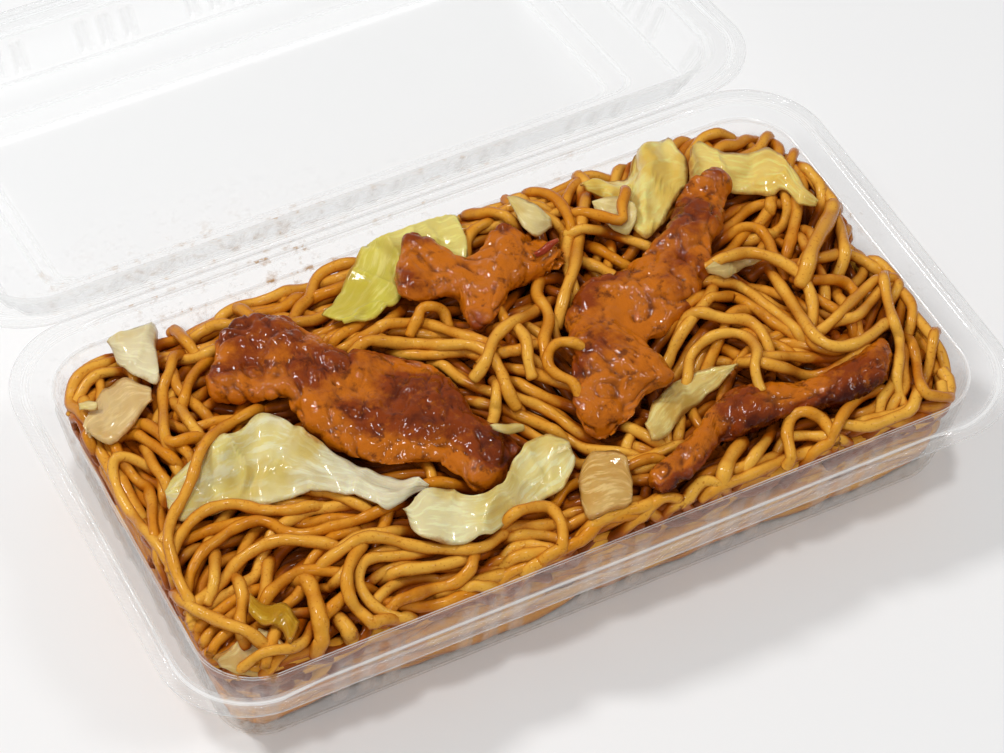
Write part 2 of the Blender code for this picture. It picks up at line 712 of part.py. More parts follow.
def fuse(core, strands, cutters):
    """Join the strands to the core with one union, applied, and remove the loose strands."""
    union = core.modifiers.new("Fuse", "BOOLEAN")
    union.operation = "UNION"
    union.operand_type = "COLLECTION"
    union.collection = cutters
    union.solver = "EXACT"
    bpy.context.view_layer.update()
    graph = bpy.context.evaluated_depsgraph_get()
    joined = bpy.data.meshes.new_from_object(core.evaluated_get(graph))
    keep_largest_body(joined)
    core.modifiers.clear()
    core.data = joined
    for strand in strands:
        bpy.data.objects.remove(strand, do_unlink=True)


def main():
    """Build the pack, then the food from the bottom up."""
    clear_scene()
    pack = new_collection("noodle_takeaway_box")
    cutters = new_collection("strands_to_fuse")
    cutters.hide_render = True
    make_tray(pack)
    make_lid(pack)
    core = make_core(pack)
    ground = Ground()
    for name, stations in LEAVES_UNDER.items():
        finish = "onion" if name.startswith("onion") else "cabbage"
        make_leaf(name, stations, ground, pack, finish)
    for name, stations in CHICKEN.items():
        make_chicken(name, stations, ground, pack)
    for name, stations in LEAVES_OVER.items():
        make_leaf(name, stations, ground, pack)
    make_ginger(ground, pack)
    fuse(core, make_strands(ground, cutters), cutters)


main()
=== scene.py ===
"""A clear hinged food pack, open, filled with fried noodles, glazed chicken and cabbage.

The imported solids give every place. Each one is replaced by a finer piece of the same form: the clear
tray and lid, noodles laid strand by strand over their own core, meat, leaves and small bits.
Lengths are in millimetres until a mesh is made.
"""

import logging
import math
from dataclasses import dataclass, field
from enum import Enum
from typing import Callable, Iterable, Sequence

import bmesh
import bpy
import numpy as np
from mathutils import Matrix, Vector, noise


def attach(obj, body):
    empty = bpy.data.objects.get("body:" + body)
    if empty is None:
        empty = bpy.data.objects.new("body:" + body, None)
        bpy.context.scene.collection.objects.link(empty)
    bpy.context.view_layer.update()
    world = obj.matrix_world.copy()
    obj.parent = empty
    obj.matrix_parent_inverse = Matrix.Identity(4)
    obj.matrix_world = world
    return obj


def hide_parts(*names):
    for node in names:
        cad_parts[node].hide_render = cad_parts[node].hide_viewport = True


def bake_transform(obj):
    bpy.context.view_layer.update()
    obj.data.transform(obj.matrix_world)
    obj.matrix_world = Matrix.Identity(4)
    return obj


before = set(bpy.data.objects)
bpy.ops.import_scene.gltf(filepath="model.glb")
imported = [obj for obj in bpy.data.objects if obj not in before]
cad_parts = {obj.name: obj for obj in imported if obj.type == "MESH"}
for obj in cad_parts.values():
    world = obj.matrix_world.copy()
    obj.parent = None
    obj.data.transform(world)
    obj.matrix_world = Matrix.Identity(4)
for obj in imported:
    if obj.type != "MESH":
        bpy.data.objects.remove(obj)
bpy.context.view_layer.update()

LOG = logging.getLogger("noodle_takeaway_box")
MM = 0.001

Pixel = tuple[float, float]
Route = tuple[Pixel, ...]
Rows = tuple[tuple[Pixel, Pixel], ...]


class Body(Enum):
    """The bodies that the pieces move with."""

    BASE = "base"
    LID = "lid"


@dataclass(frozen=True)
class PhotoView:
    """The camera that took the photograph, found by fitting the pack's rim, beads and ribs."""

    width: float = 1004.0
    height: float = 753.0
    focal: float = 3425.75
    distance: float = 775.5
    azimuth: float = -29.07
    elevation: float = 48.93
    roll: float = 2.22
    target: tuple[float, float, float] = (9.6, 22.7, 0.0)
    sensor: float = 36.0

    def axes(self) -> tuple[np.ndarray, np.ndarray, np.ndarray]:
        """The camera's right, up and backward directions."""
        azimuth, elevation, roll = (math.radians(a) for a in (self.azimuth, self.elevation, self.roll))
        back = np.array([
            math.cos(elevation) * math.sin(azimuth),
            -math.cos(elevation) * math.cos(azimuth),
            math.sin(elevation),
        ])
        level = np.array([math.cos(azimuth), math.sin(azimuth), 0.0])
        upright = np.cross(back, level)
        right = level * math.cos(roll) + upright * math.sin(roll)
        return right, np.cross(back, right), back

    def place(self, pixels: np.ndarray, height: np.ndarray) -> np.ndarray:
        """Where the photograph's pixels lie at given heights.

        Args:
            pixels: places in the photograph, one row each.
            height: height over the table of each place.

        Returns:
            The x and y of each place.
        """
        right, up, back = self.axes()
        origin = np.array(self.target) + back * self.distance
        across = (pixels[:, 0] - self.width / 2) / self.focal
        down = (pixels[:, 1] - self.height / 2) / self.focal
        rays = across[:, None] * right - down[:, None] * up - back
        reach = (height - origin[2]) / rays[:, 2]
        return (origin + rays * reach[:, None])[:, :2]

    def make_camera(self) -> bpy.types.Object:
        """Add the camera to the scene and make it the one that is used."""
        right, up, back = self.axes()
        data = bpy.data.cameras.new("photo_camera")
        data.sensor_width = self.sensor
        data.lens = self.focal / self.width * self.sensor
        data.clip_start, data.clip_end = 0.01, 20.0
        camera = bpy.data.objects.new("photo_camera", data)
        bpy.context.scene.collection.objects.link(camera)
        turn = Matrix((right, up, back)).transposed().to_4x4()
        spot = (np.array(self.target) + back * self.distance) * MM
        camera.matrix_world = Matrix.Translation(Vector(spot)) @ turn
        bpy.context.scene.camera = camera
        return camera


VIEW = PhotoView()


def smooth_curve(points: Sequence[Sequence[float]], step: float) -> np.ndarray:
    """A Catmull-Rom curve through points, cut evenly.

    Args:
        points: the places that the curve passes, of any dimension.
        step: rough distance between the curve's own points.

    Returns:
        The curve's points, one row each.
    """
    knots = np.asarray(points, float)
    ends = np.vstack([2 * knots[0] - knots[1], knots, 2 * knots[-1] - knots[-2]])
    pieces = []
    for a, b, c, d in zip(ends, ends[1:], ends[2:], ends[3:]):
        count = max(2, math.ceil(np.linalg.norm((c - b)[:2]) / step * 2))
        t = (np.arange(count) / count)[:, None]
        pieces.append(0.5 * (2 * b + (c - a) * t + (2 * a - 5 * b + 4 * c - d) * t ** 2
                             + (3 * b - a - 3 * c + d) * t ** 3))
    dense = np.vstack(pieces + [knots[-1:]])
    gone = np.concatenate([[0], np.cumsum(np.linalg.norm(np.diff(dense[:, :2], axis=0), axis=1))])
    count = max(3, math.ceil(gone[-1] / step) + 1)
    stops = np.linspace(0, gone[-1], count)
    return np.stack([np.interp(stops, gone, dense[:, k]) for k in range(dense.shape[1])], axis=1)


def running_mean(values: np.ndarray, reach: int, axis: int = 0) -> np.ndarray:
    """A soft moving average along one axis, with the ends held.

    Args:
        values: what is averaged.
        reach: how many neighbours on each side count.
        axis: the axis along which it runs.

    Returns:
        The averaged values, in the same shape.
    """
    weights = np.exp(-np.linspace(-1.6, 1.6, 2 * reach + 1) ** 2)
    weights /= weights.sum()
    padding = [(0, 0)] * values.ndim
    padding[axis] = (reach, reach)
    padded = np.pad(values, padding, mode="edge")
    length = values.shape[axis]
    total = np.zeros_like(values)
    for k, weight in enumerate(weights):
        total += weight * np.take(padded, range(k, k + length), axis=axis)
    return total


def grain(x: float, y: float, z: float = 0.0) -> float:
    """Smooth noise between about -1 and 1 at a place."""
    return noise.noise(Vector((x, y, z)))


def grain_of(points: np.ndarray, scale: Sequence[float], shift: float = 0.0) -> np.ndarray:
    """Smooth noise at many points.

    Args:
        points: three columns.
        scale: noise cells for each millimetre along each axis.
        shift: moves the pattern, so that pieces differ.

    Returns:
        One number for each point.
    """
    places = points * np.asarray(scale) + shift
    return np.array([noise.noise(Vector(p)) for p in places])


@dataclass(frozen=True)
class PackPlan:
    """Sizes that the tray and the lid share, seen from above."""

    length: float = 200.0
    width: float = 115.4
    corner: float = 20.0
    corner_shrink: float = 0.76
    least_corner: float = 5.0
    sheet: float = 0.5
    rim: float = 28.0
    flange: float = 9.2
    draft: float = 4.8
    bead: tuple[float, float, float] = (2.2, 3.1, 4.0)
    bead_height: float = 1.0
    bead_taper: float = 10.0
    rib_pitch: float = 6.0
    rib_half: float = 2.0
    rib_depth: float = 0.9
    group_pitch: float = 28.7
    groups_long: int = 5
    groups_short: int = 2
    hinge_gap: float = 0.15
    lid_gap: float = 0.4
    floor_gap: float = 0.15
    point_gap: float = 0.55

    def radius(self, margin: float) -> float:
        """Corner radius of an outline that lies this far inside the pack's edge."""
        return max(self.corner - self.corner_shrink * margin, self.least_corner)

    def wall_distance(self, x: np.ndarray, y: np.ndarray) -> np.ndarray:
        """Distance from the tray's inner rim, positive inside it."""
        radius = self.radius(self.flange)
        over_x = np.abs(x) - (self.length / 2 - self.flange - radius)
        over_y = np.abs(y) - (self.width / 2 - self.flange - radius)
        outside = np.hypot(np.maximum(over_x, 0), np.maximum(over_y, 0))
        return radius - outside - np.minimum(np.maximum(over_x, over_y), 0)

    def ribs(self, groups: int) -> list[float]:
        """Where the ribs of a straight side stand, from its middle."""
        middle = (groups - 1) / 2
        return [(g - middle) * self.group_pitch + r * self.rib_pitch for g in range(groups) for r in (-1, 0, 1)]

    def outline(self, margin: float) -> "Outline":
        """A rounded rectangle this far inside the pack's edge, with its ribs and bead shares."""
        radius = self.radius(margin)
        run_x = self.length / 2 - margin - radius
        run_y = self.width / 2 - margin - radius
        spots, outs, ribs, beads, gone = [], [], [], [], []
        travel = 0.0
        sides = (
            (0.0, run_x, run_y, self.groups_long, (-1, 1)),
            (math.pi / 2, run_y, run_x, self.groups_short, (-1, -1)),
            (math.pi, run_x, run_y, self.groups_long, (1, -1)),
            (3 * math.pi / 2, run_y, run_x, self.groups_short, (1, 1)),
        )
        long_run = self.length / 2 - self.corner
        short_run = self.width / 2 - self.corner
        for turn, run, across, groups, signs in sides:
            count = round(2 * (long_run if groups == self.groups_long else short_run) / self.point_gap)
            along = np.array([-math.cos(turn), -math.sin(turn)])
            out = np.array([-math.sin(turn), math.cos(turn)])
            for place in np.linspace(-run, run, count, endpoint=False):
                near = min(abs(place - rib) for rib in self.ribs(groups))
                ribs.append(0.5 + 0.5 * math.cos(math.pi * min(near / self.rib_half, 1.0)))
                left = run - abs(place) + radius - self.corner + self.bead_taper * 0.4
                beads.append(float(np.clip(left / self.bead_taper, 0, 1)))
                spots.append(along * place + out * (across + radius))
                outs.append(out)
                gone.append(travel + (place + run) * 1.0)
            travel += 2 * run
            centre = np.array([signs[0] * run_x, signs[1] * run_y])
            arc = 36
            for k in range(arc):
                angle = turn + math.pi / 2 + k / arc * math.pi / 2
                direction = np.array([math.cos(angle), math.sin(angle)])
                ribs.append(0.5 - 0.5 * math.cos(2 * math.pi * 3 * k / arc))
                beads.append(0.0)
                spots.append(centre + direction * radius)
                outs.append(direction)
                gone.append(travel + radius * k / arc * math.pi / 2)
            travel += radius * math.pi / 2
        return Outline(np.array(spots), np.array(outs), np.array(ribs), np.array(beads), np.array(gone))

    def lid_ceiling(self, x: np.ndarray, y: np.ndarray, outward: float = 0.0) -> np.ndarray:
        """Height of the shut lid's inner face over a place, or a little further out."""
        margin = self.flange + self.wall_distance(x, y) - outward
        return self.rim + self.lid_gap + np.interp(margin, (9.2, 15.0, 25.0, 29.0), (0.0, 10.5, 11.5, 15.0))


@dataclass(frozen=True)
class Outline:
    """One closed loop of the pack's sheet: places, outward directions, rib and bead shares, way gone."""

    spots: np.ndarray
    outs: np.ndarray
    ribs: np.ndarray
    beads: np.ndarray
    gone: np.ndarray


PLAN = PackPlan()


@dataclass(frozen=True)
class HeapShape:
    """The noodle heap's upper surface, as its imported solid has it."""

    edge: float = 23.5
    dome: float = 4.8
    reach: float = 9.0
    fade: float = 6.0
    grain_height: float = 0.7
    grains_per_mm: float = 0.095
    swells: tuple[tuple[float, ...], ...] = (
        (12, 39, 27, 9, 7.5),
        (62, 34, 17, 11, 4.0),
        (-42, 14, 26, 17, 2.0),
        (8, -4, 40, 26, 2.0),
        (-72, 42, 24, 12, -2.5),
        (86, -26, 9, 24, -1.5),
        (-74, -38, 16, 10, -1.0),
        (55, -22, 16, 10, 1.5),
    )

    def height(self, x: np.ndarray, y: np.ndarray) -> np.ndarray:
        """Height of the heap's bare core over each place."""
        reach = np.maximum(PLAN.wall_distance(x, y), 0)
        height = self.edge + self.dome * (1 - np.exp(-reach / self.reach))
        fade = np.minimum(reach / self.fade, 1)
        for middle_x, middle_y, spread_x, spread_y, swell in self.swells:
            away = ((x - middle_x) / spread_x) ** 2 + ((y - middle_y) / spread_y) ** 2
            height = height + swell * np.exp(-away) * (0.4 + 0.6 * fade)
        per_mm = self.grains_per_mm
        bumps = [grain(a * per_mm, b * per_mm) for a, b in zip(np.ravel(x), np.ravel(y))]
        return height + self.grain_height * np.reshape(bumps, np.shape(x))


HEAP = HeapShape()


class Ground:
    """A height map of what already lies in the tray. Each new piece is laid on it, then raises it."""

    CELL = 0.5

    def __init__(self) -> None:
        """Start with the sunken core's surface."""
        self.half_x, self.half_y = 93.0, 51.0
        self.nx = round(2 * self.half_x / self.CELL) + 1
        self.ny = round(2 * self.half_y / self.CELL) + 1
        xs = np.arange(self.nx) * self.CELL - self.half_x
        ys = np.arange(self.ny) * self.CELL - self.half_y
        self.x, self.y = np.meshgrid(xs, ys, indexing="ij")
        self.heap = HEAP.height(self.x, self.y)
        self.inside = PLAN.wall_distance(self.x, self.y)
        self.top = self.heap - CORE_SINK
        self.target = self.heap.copy()
        reach = math.ceil(2.2 / self.CELL)
        span = np.arange(-reach, reach + 1)
        self.near_i, self.near_j = (a.ravel() for a in np.meshgrid(span, span, indexing="ij"))

    def cells(self, places: np.ndarray) -> tuple[np.ndarray, np.ndarray]:
        """Grid cell of each place."""
        i = np.clip(np.rint((places[:, 0] + self.half_x) / self.CELL).astype(int), 0, self.nx - 1)
        j = np.clip(np.rint((places[:, 1] + self.half_y) / self.CELL).astype(int), 0, self.ny - 1)
        return i, j

    def read(self, field_of: np.ndarray, places: np.ndarray) -> np.ndarray:
        """The value of one of the maps at each place."""
        return field_of[self.cells(places)]

    def under(self, places: np.ndarray, reach: float) -> np.ndarray:
        """The highest ground within reach of each place."""
        i, j = self.cells(places)
        near = np.hypot(self.near_i, self.near_j) * self.CELL <= reach
        ii = np.clip(i[:, None] + self.near_i[near], 0, self.nx - 1)
        jj = np.clip(j[:, None] + self.near_j[near], 0, self.ny - 1)
        return self.top[ii, jj].max(axis=1)

    def add_strand(self, path: np.ndarray, radius: float) -> None:
        """Raise the map to the top of a strand."""
        i, j = self.cells(path)
        ii = np.clip(i[:, None] + self.near_i, 0, self.nx - 1)
        jj = np.clip(j[:, None] + self.near_j, 0, self.ny - 1)
        away = np.hypot(self.x[ii, jj] - path[:, None, 0], self.y[ii, jj] - path[:, None, 1])
        rise = path[:, None, 2] + np.sqrt(np.maximum(radius ** 2 - away ** 2, 0))
        hit = away <= radius
        np.maximum.at(self.top, (ii[hit], jj[hit]), rise[hit])

    def add_points(self, points: np.ndarray) -> None:
        """Raise the map to the points of a broad piece's upper face."""
        i, j = self.cells(points)
        for di in (0, 1):
            for dj in (0, 1):
                ii, jj = np.clip(i + di, 0, self.nx - 1), np.clip(j + dj, 0, self.ny - 1)
                np.maximum.at(self.top, (ii, jj), points[:, 2])

    def soft_top(self, widen: int, blur: int) -> np.ndarray:
        """The map, widened and smoothed, as a broad soft piece feels it."""
        spread = self.top.copy()
        for axis in (0, 1):
            grown = spread.copy()
            for k in range(1, widen + 1):
                grown = np.maximum(grown, np.roll(spread, k, axis))
                grown = np.maximum(grown, np.roll(spread, -k, axis))
            spread = grown
        return running_mean(running_mean(spread, blur, 0), blur, 1)

    def lower_target(self, outline: np.ndarray, drop: float) -> None:
        """Keep the filling noodles lower inside a piece's outline."""
        inside = np.zeros(self.x.shape, bool)
        for (x0, y0), (x1, y1) in zip(outline, np.roll(outline, -1, axis=0)):
            crosses = (y0 > self.y) != (y1 > self.y)
            with np.errstate(divide="ignore", invalid="ignore"):
                inside ^= crosses & (self.x < (x1 - x0) * (self.y - y0) / (y1 - y0) + x0)
        self.target = np.where(inside, np.minimum(self.target, self.heap - drop), self.target)


CORE_SINK = 5.5


def make_object(name: str, points: np.ndarray, faces: np.ndarray,
                values: dict[str, np.ndarray] | None = None) -> bpy.types.Object:
    """A smooth mesh object from millimetre points.

    Args:
        name: name of the piece.
        points: one row for each vertex, in millimetres.
        faces: vertex numbers, three or four in a row.
        values: named numbers for each vertex, which the finish reads.

    Returns:
        The new object, linked to the scene.
    """
    mesh = bpy.data.meshes.new(name)
    count, sides = faces.shape
    mesh.vertices.add(len(points))
    mesh.vertices.foreach_set("co", (np.asarray(points, float) * MM).ravel())
    mesh.loops.add(count * sides)
    mesh.loops.foreach_set("vertex_index", faces.astype(np.int32).ravel())
    mesh.polygons.add(count)
    mesh.polygons.foreach_set("loop_start", np.arange(count, dtype=np.int32) * sides)
    mesh.update(calc_edges=True)
    mesh.validate()
    for label, numbers in (values or {}).items():
        layer = mesh.attributes.new(label, "FLOAT", "POINT")
        layer.data.foreach_set("value", np.asarray(numbers, np.float32))
    mesh.shade_smooth()
    obj = bpy.data.objects.new(name, mesh)
    bpy.context.scene.collection.objects.link(obj)
    return obj


def grid_faces(rows: int, columns: int, closed: bool = False) -> np.ndarray:
    """Quads between the points of a grid.

    Args:
        rows: number of rows.
        columns: number of points in a row.
        closed: whether each row joins its end to its start.

    Returns:
        Four vertex numbers for each quad.
    """
    r = np.arange(rows - 1)[:, None]
    c = np.arange(columns if closed else columns - 1)[None, :]
    n = (c + 1) % columns
    quads = np.stack([r * columns + c, r * columns + n, (r + 1) * columns + n, (r + 1) * columns + c], axis=-1)
    return quads.reshape(-1, 4)


def settle(obj: bpy.types.Object, body: Body, slot: str, nodes: Sequence[str],
           finish: bpy.types.Material) -> bpy.types.Object:
    """Dress a piece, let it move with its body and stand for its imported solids."""
    obj.data.materials.clear()
    obj.data.materials.append(finish)
    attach(obj, body.value)
    if nodes:
        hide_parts(*nodes)
    LOG.info("%s: %d faces, rides on %s", obj.name, len(obj.data.polygons), body.value)
    return obj


class NodeSheet:
    """A short hand for building a material's nodes."""

    def __init__(self, name: str) -> None:
        """Start a material with only its output."""
        self.material = bpy.data.materials.new(name)
        self.material.use_nodes = True
        self.tree = self.material.node_tree
        self.tree.nodes.clear()
        self.output = self.tree.nodes.new("ShaderNodeOutputMaterial")

    def add(self, kind: str, settings: dict | None = None, **inputs: object) -> bpy.types.Node:
        """Add a node, set its options and fill or link its sockets.

        Args:
            kind: the node's type.
            settings: options of the node itself.
            **inputs: socket names, with a blank as two underscores, and a number, colour or socket.

        Returns:
            The node.
        """
        node = self.tree.nodes.new(kind)
        for key, value in (settings or {}).items():
            setattr(node, key, value)
        for key, value in inputs.items():
            socket = node.inputs[int(key[1:])] if key[1:].isdigit() else node.inputs[key.replace("__", " ")]
            if isinstance(value, bpy.types.NodeSocket):
                self.tree.links.new(value, socket)
            else:
                socket.default_value = value
        return node

    def value_of(self, name: str) -> bpy.types.NodeSocket:
        """The number that the mesh holds under a name."""
        return self.add("ShaderNodeAttribute", {"attribute_name": name}).outputs["Fac"]

    def place(self) -> bpy.types.NodeSocket:
        """The surface's own place on the object."""
        return self.add("ShaderNodeTexCoord").outputs["Object"]

    def noise(self, scale: float, detail: float = 3.0, roughness: float = 0.55,
              stretch: tuple[float, float, float] | None = None) -> bpy.types.NodeSocket:
        """Noise of a given number of cells for each metre."""
        place = self.place()
        if stretch:
            place = self.add("ShaderNodeMapping", Vector=place, Scale=stretch).outputs["Vector"]
        made = self.add("ShaderNodeTexNoise", Vector=place, Scale=scale, Detail=detail, Roughness=roughness)
        return made.outputs["Fac"]

    def ramp(self, value: bpy.types.NodeSocket, low: float, high: float) -> bpy.types.NodeSocket:
        """A value stretched so that low becomes 0 and high becomes 1."""
        node = self.add("ShaderNodeMapRange", {"interpolation_type": "SMOOTHSTEP"}, Value=value)
        node.inputs["From Min"].default_value = low
        node.inputs["From Max"].default_value = high
        return node.outputs["Result"]

    def maths(self, operation: str, first: object, second: object = 0.0) -> bpy.types.NodeSocket:
        """One sum on two numbers."""
        node = self.add("ShaderNodeMath", {"operation": operation, "use_clamp": False}, _0=first, _1=second)
        return node.outputs[0]

    def blend(self, share: object, first: object, second: object) -> bpy.types.NodeSocket:
        """A mix of two colours."""
        node = self.add("ShaderNodeMix", {"data_type": "RGBA", "clamp_factor": True})
        for index, value in ((0, share), (6, first), (7, second)):
            socket = node.inputs[index]
            if isinstance(value, bpy.types.NodeSocket):
                self.tree.links.new(value, socket)
            else:
                socket.default_value = value if index == 0 else (*value, 1.0)
        return node.outputs[2]

    def bump(self, height: bpy.types.NodeSocket, depth: float) -> bpy.types.NodeSocket:
        """A bumped normal; depth is in millimetres."""
        return self.add("ShaderNodeBump", Height=height, Distance=depth * MM, Strength=1.0).outputs["Normal"]

    def finish(self, shader: bpy.types.NodeSocket) -> bpy.types.Material:
        """Link the surface and return the material."""
        self.tree.links.new(shader, self.output.inputs["Surface"])
        return self.material


Colour = tuple[float, float, float]


@dataclass(frozen=True)
class NoodleFinish:
    """Oily fried noodles: amber where they show, with brown sauce patches; painted shade makes them browner and darker
    where they lie low in the heap.
    """

    pale: Colour = (0.80, 0.42, 0.055)
    amber: Colour = (0.64, 0.230, 0.008)
    brown: Colour = (0.38, 0.088, 0.002)
    deep: Colour = (0.20, 0.042, 0.002)

    def make(self) -> bpy.types.Material:
        """Build the material."""
        sheet = NodeSheet("noodle_finish")
        tone, depth = sheet.value_of("tone"), sheet.value_of("depth")
        mottle = sheet.noise(170, 3.0, 0.6)
        mixed = sheet.maths("ADD", sheet.maths("MULTIPLY", tone, 0.45), sheet.maths("MULTIPLY", mottle, 0.8))
        mixed = sheet.maths("ADD", mixed, sheet.maths("MULTIPLY", sheet.noise(21, 2.0), 0.75))
        colour = sheet.blend(sheet.ramp(mixed, 0.62, 1.38), self.amber, self.pale)
        sauce = sheet.ramp(sheet.maths("SUBTRACT", sheet.noise(95, 4.0, 0.65), sheet.maths("MULTIPLY", tone, 0.18)),
                           0.42, 0.72)
        colour = sheet.blend(sheet.maths("MULTIPLY", sauce, 0.62), colour, self.brown)
        # Painted shade: the lower a point lies under the heap's surface, the browner and then darker it is painted.
        colour = sheet.blend(sheet.ramp(depth, 0.05, 0.6), colour, self.brown)
        colour = sheet.blend(sheet.ramp(depth, 0.45, 1.0), colour, self.deep)
        specks = sheet.ramp(sheet.noise(1500, 2.0), 0.56, 0.76)
        colour = sheet.blend(sheet.maths("MULTIPLY", specks, 0.60), colour, self.brown)
        normal = sheet.bump(sheet.noise(800, 3.0, 0.6), 0.16)
        # Painted shade: each noodle is painted browner where its surface turns away from the view, towards its sides.
        turned = sheet.add("ShaderNodeLayerWeight", Blend=0.5).outputs["Facing"]
        colour = sheet.blend(sheet.maths("MULTIPLY", sheet.ramp(turned, 0.12, 0.80), 0.72), colour, self.brown)
        shader = sheet.add(
            "ShaderNodeBsdfPrincipled", Base__Color=colour, Roughness=0.40, IOR=1.45, Normal=normal,
            Specular__IOR__Level=0.06, Coat__Weight=0.70, Coat__Roughness=0.11, Coat__IOR=1.27,
        )
        return sheet.finish(shader.outputs["BSDF"])


@dataclass(frozen=True)
class SauceAndShadeFinish:
    """Dark sauce between the noodles, also painted shade of the heap's low places where it shows through the gaps."""

    dark: Colour = (0.15, 0.035, 0.003)
    light: Colour = (0.34, 0.105, 0.008)

    def make(self) -> bpy.types.Material:
        """Build the material."""
        sheet = NodeSheet("sauce_and_shade_finish")
        colour = sheet.blend(sheet.ramp(sheet.noise(220, 4.0), 0.4, 0.7), self.dark, self.light)
        normal = sheet.bump(sheet.noise(500, 3.0), 0.4)
        shader = sheet.add("ShaderNodeBsdfPrincipled", Base__Color=colour, Roughness=0.3, Normal=normal)
        return sheet.finish(shader.outputs["BSDF"])


@dataclass(frozen=True)
class MeatFinish:
    """Chicken under a sticky glaze: amber flesh, mahogany crust, dark scorched spots, with painted shade in its creases
    and on its darker side.
    """

    name: str
    amber: Colour = (0.50, 0.130, 0.004)
    crust: Colour = (0.22, 0.035, 0.002)
    scorch_and_shade: Colour = (0.055, 0.006, 0.001)
    crust_share: float = 0.5

    def make(self) -> bpy.types.Material:
        """Build the material."""
        sheet = NodeSheet(self.name + "_finish")
        char_and_side_shade, hollow = sheet.value_of("char_and_side_shade"), sheet.value_of("hollow")
        patches = sheet.noise(110, 5.0, 0.62)
        # The crust share also carries painted shade: one side of a piece is painted darker or lighter by how light
        # falls on it.
        crust = sheet.maths("ADD", sheet.maths("MULTIPLY", patches, 1.2), sheet.maths("MULTIPLY", char_and_side_shade, 0.9))
        middle = 1.05 - 0.6 * self.crust_share
        colour = sheet.blend(sheet.ramp(crust, middle - 0.16, middle + 0.18), self.amber, self.crust)
        colour = sheet.blend(sheet.ramp(crust, middle + 0.22, middle + 0.62), colour, self.scorch_and_shade)
        # Painted shade: creases and folds (hollow) are painted near-black, as shade would fall there.
        colour = sheet.blend(sheet.maths("MULTIPLY", sheet.ramp(hollow, 0.35, 1.0), 0.7), colour, self.scorch_and_shade)
        streaks = sheet.noise(420, 3.0, 0.6)
        colour = sheet.blend(sheet.maths("MULTIPLY", sheet.ramp(streaks, 0.52, 0.75), 0.45), colour, self.amber)
        dabs = sheet.ramp(sheet.noise(260, 4.0, 0.65), 0.54, 0.68)
        colour = sheet.blend(sheet.maths("MULTIPLY", dabs, 0.68), colour, self.scorch_and_shade)
        cells = sheet.add("ShaderNodeTexVoronoi", {"feature": "SMOOTH_F1"}, Vector=sheet.place(), Scale=300.0,
                          Smoothness=0.5, Randomness=1.0).outputs["Distance"]
        film = sheet.bump(sheet.maths("ADD", cells, sheet.maths("MULTIPLY", sheet.noise(230, 3.0, 0.5), 1.6)), 0.55)
        flesh = sheet.bump(sheet.maths("ADD", cells, sheet.noise(700, 3.0, 0.6)), 0.30)
        shader = sheet.add(
            "ShaderNodeBsdfPrincipled", Base__Color=colour, Roughness=0.45, IOR=1.45, Normal=flesh,
            Specular__IOR__Level=0.02, Coat__Weight=1.0, Coat__Roughness=0.06, Coat__IOR=1.31, Coat__Normal=film,
        )
        return sheet.finish(shader.outputs["BSDF"])


@dataclass(frozen=True)
class LeafFinish:
    """Wilted cabbage: a wet translucent leaf with veins and browned edges."""

    name: str
    body: Colour
    rib: Colour
    stain: Colour = (0.42, 0.17, 0.025)
    stain_share: float = 0.4

    def make(self) -> bpy.types.Material:
        """Build the material."""
        sheet = NodeSheet(self.name + "_finish")
        pale, edge, vein = sheet.value_of("pale"), sheet.value_of("edge"), sheet.value_of("vein")
        cloud = sheet.noise(75, 4.0, 0.6)
        share = sheet.maths("ADD", pale, sheet.maths("MULTIPLY", sheet.maths("SUBTRACT", cloud, 0.5), 1.1))
        colour = sheet.blend(sheet.ramp(share, 0.15, 0.85), self.body, self.rib)
        lane = sheet.add("ShaderNodeCombineXYZ", X=sheet.maths("MULTIPLY", sheet.value_of("run"), 0.10),
                         Y=sheet.maths("MULTIPLY", sheet.value_of("side"), 0.55))
        fibre = sheet.add("ShaderNodeTexNoise", Vector=lane.outputs[0], Scale=1.6, Detail=4.0,
                          Roughness=0.6).outputs["Fac"]
        streak = sheet.maths("MULTIPLY", sheet.ramp(fibre, 0.47, 0.64), sheet.maths("MULTIPLY_ADD", pale, 0.55))
        colour = sheet.blend(streak, colour, tuple(min(1.0, c * 1.22 + 0.03) for c in self.rib))
        colour = sheet.blend(sheet.maths("MULTIPLY", vein, 0.35), colour, self.rib)
        sheer = sheet.ramp(sheet.noise(62, 3.0, 0.55), 0.50, 0.62)
        colour = sheet.blend(sheet.maths("MULTIPLY", sheer, 0.62), colour, tuple(c * f for c, f in zip(self.body, (0.82, 0.72, 0.45))))
        rust = sheet.maths("ADD", sheet.maths("MULTIPLY", edge, 0.46), sheet.noise(130, 4.0, 0.65))
        limit = 1.05 - 0.45 * self.stain_share
        colour = sheet.blend(sheet.maths("MULTIPLY", sheet.ramp(rust, limit - 0.14, limit + 0.16), 0.85),
                             colour, self.stain)
        height = sheet.maths("ADD", sheet.maths("MULTIPLY", vein, 0.8), sheet.noise(200, 4.0, 0.55))
        height = sheet.maths("ADD", height, sheet.maths("MULTIPLY", fibre, 0.8))
        normal = sheet.bump(height, 0.20)
        skin = sheet.add(
            "ShaderNodeBsdfPrincipled", Base__Color=colour, Roughness=0.36, IOR=1.42, Normal=normal,
            Subsurface__Weight=0.4, Subsurface__Radius=(0.0020, 0.0015, 0.0006), Subsurface__Scale=1.0,
            Specular__IOR__Level=0.10, Coat__Weight=0.8, Coat__Roughness=0.09, Coat__IOR=1.33,
        )
        through = sheet.add("ShaderNodeBsdfTranslucent", Color=colour)
        both = sheet.add("ShaderNodeMixShader", Fac=0.18, _1=skin.outputs[0], _2=through.outputs[0])
        return sheet.finish(both.outputs[0])


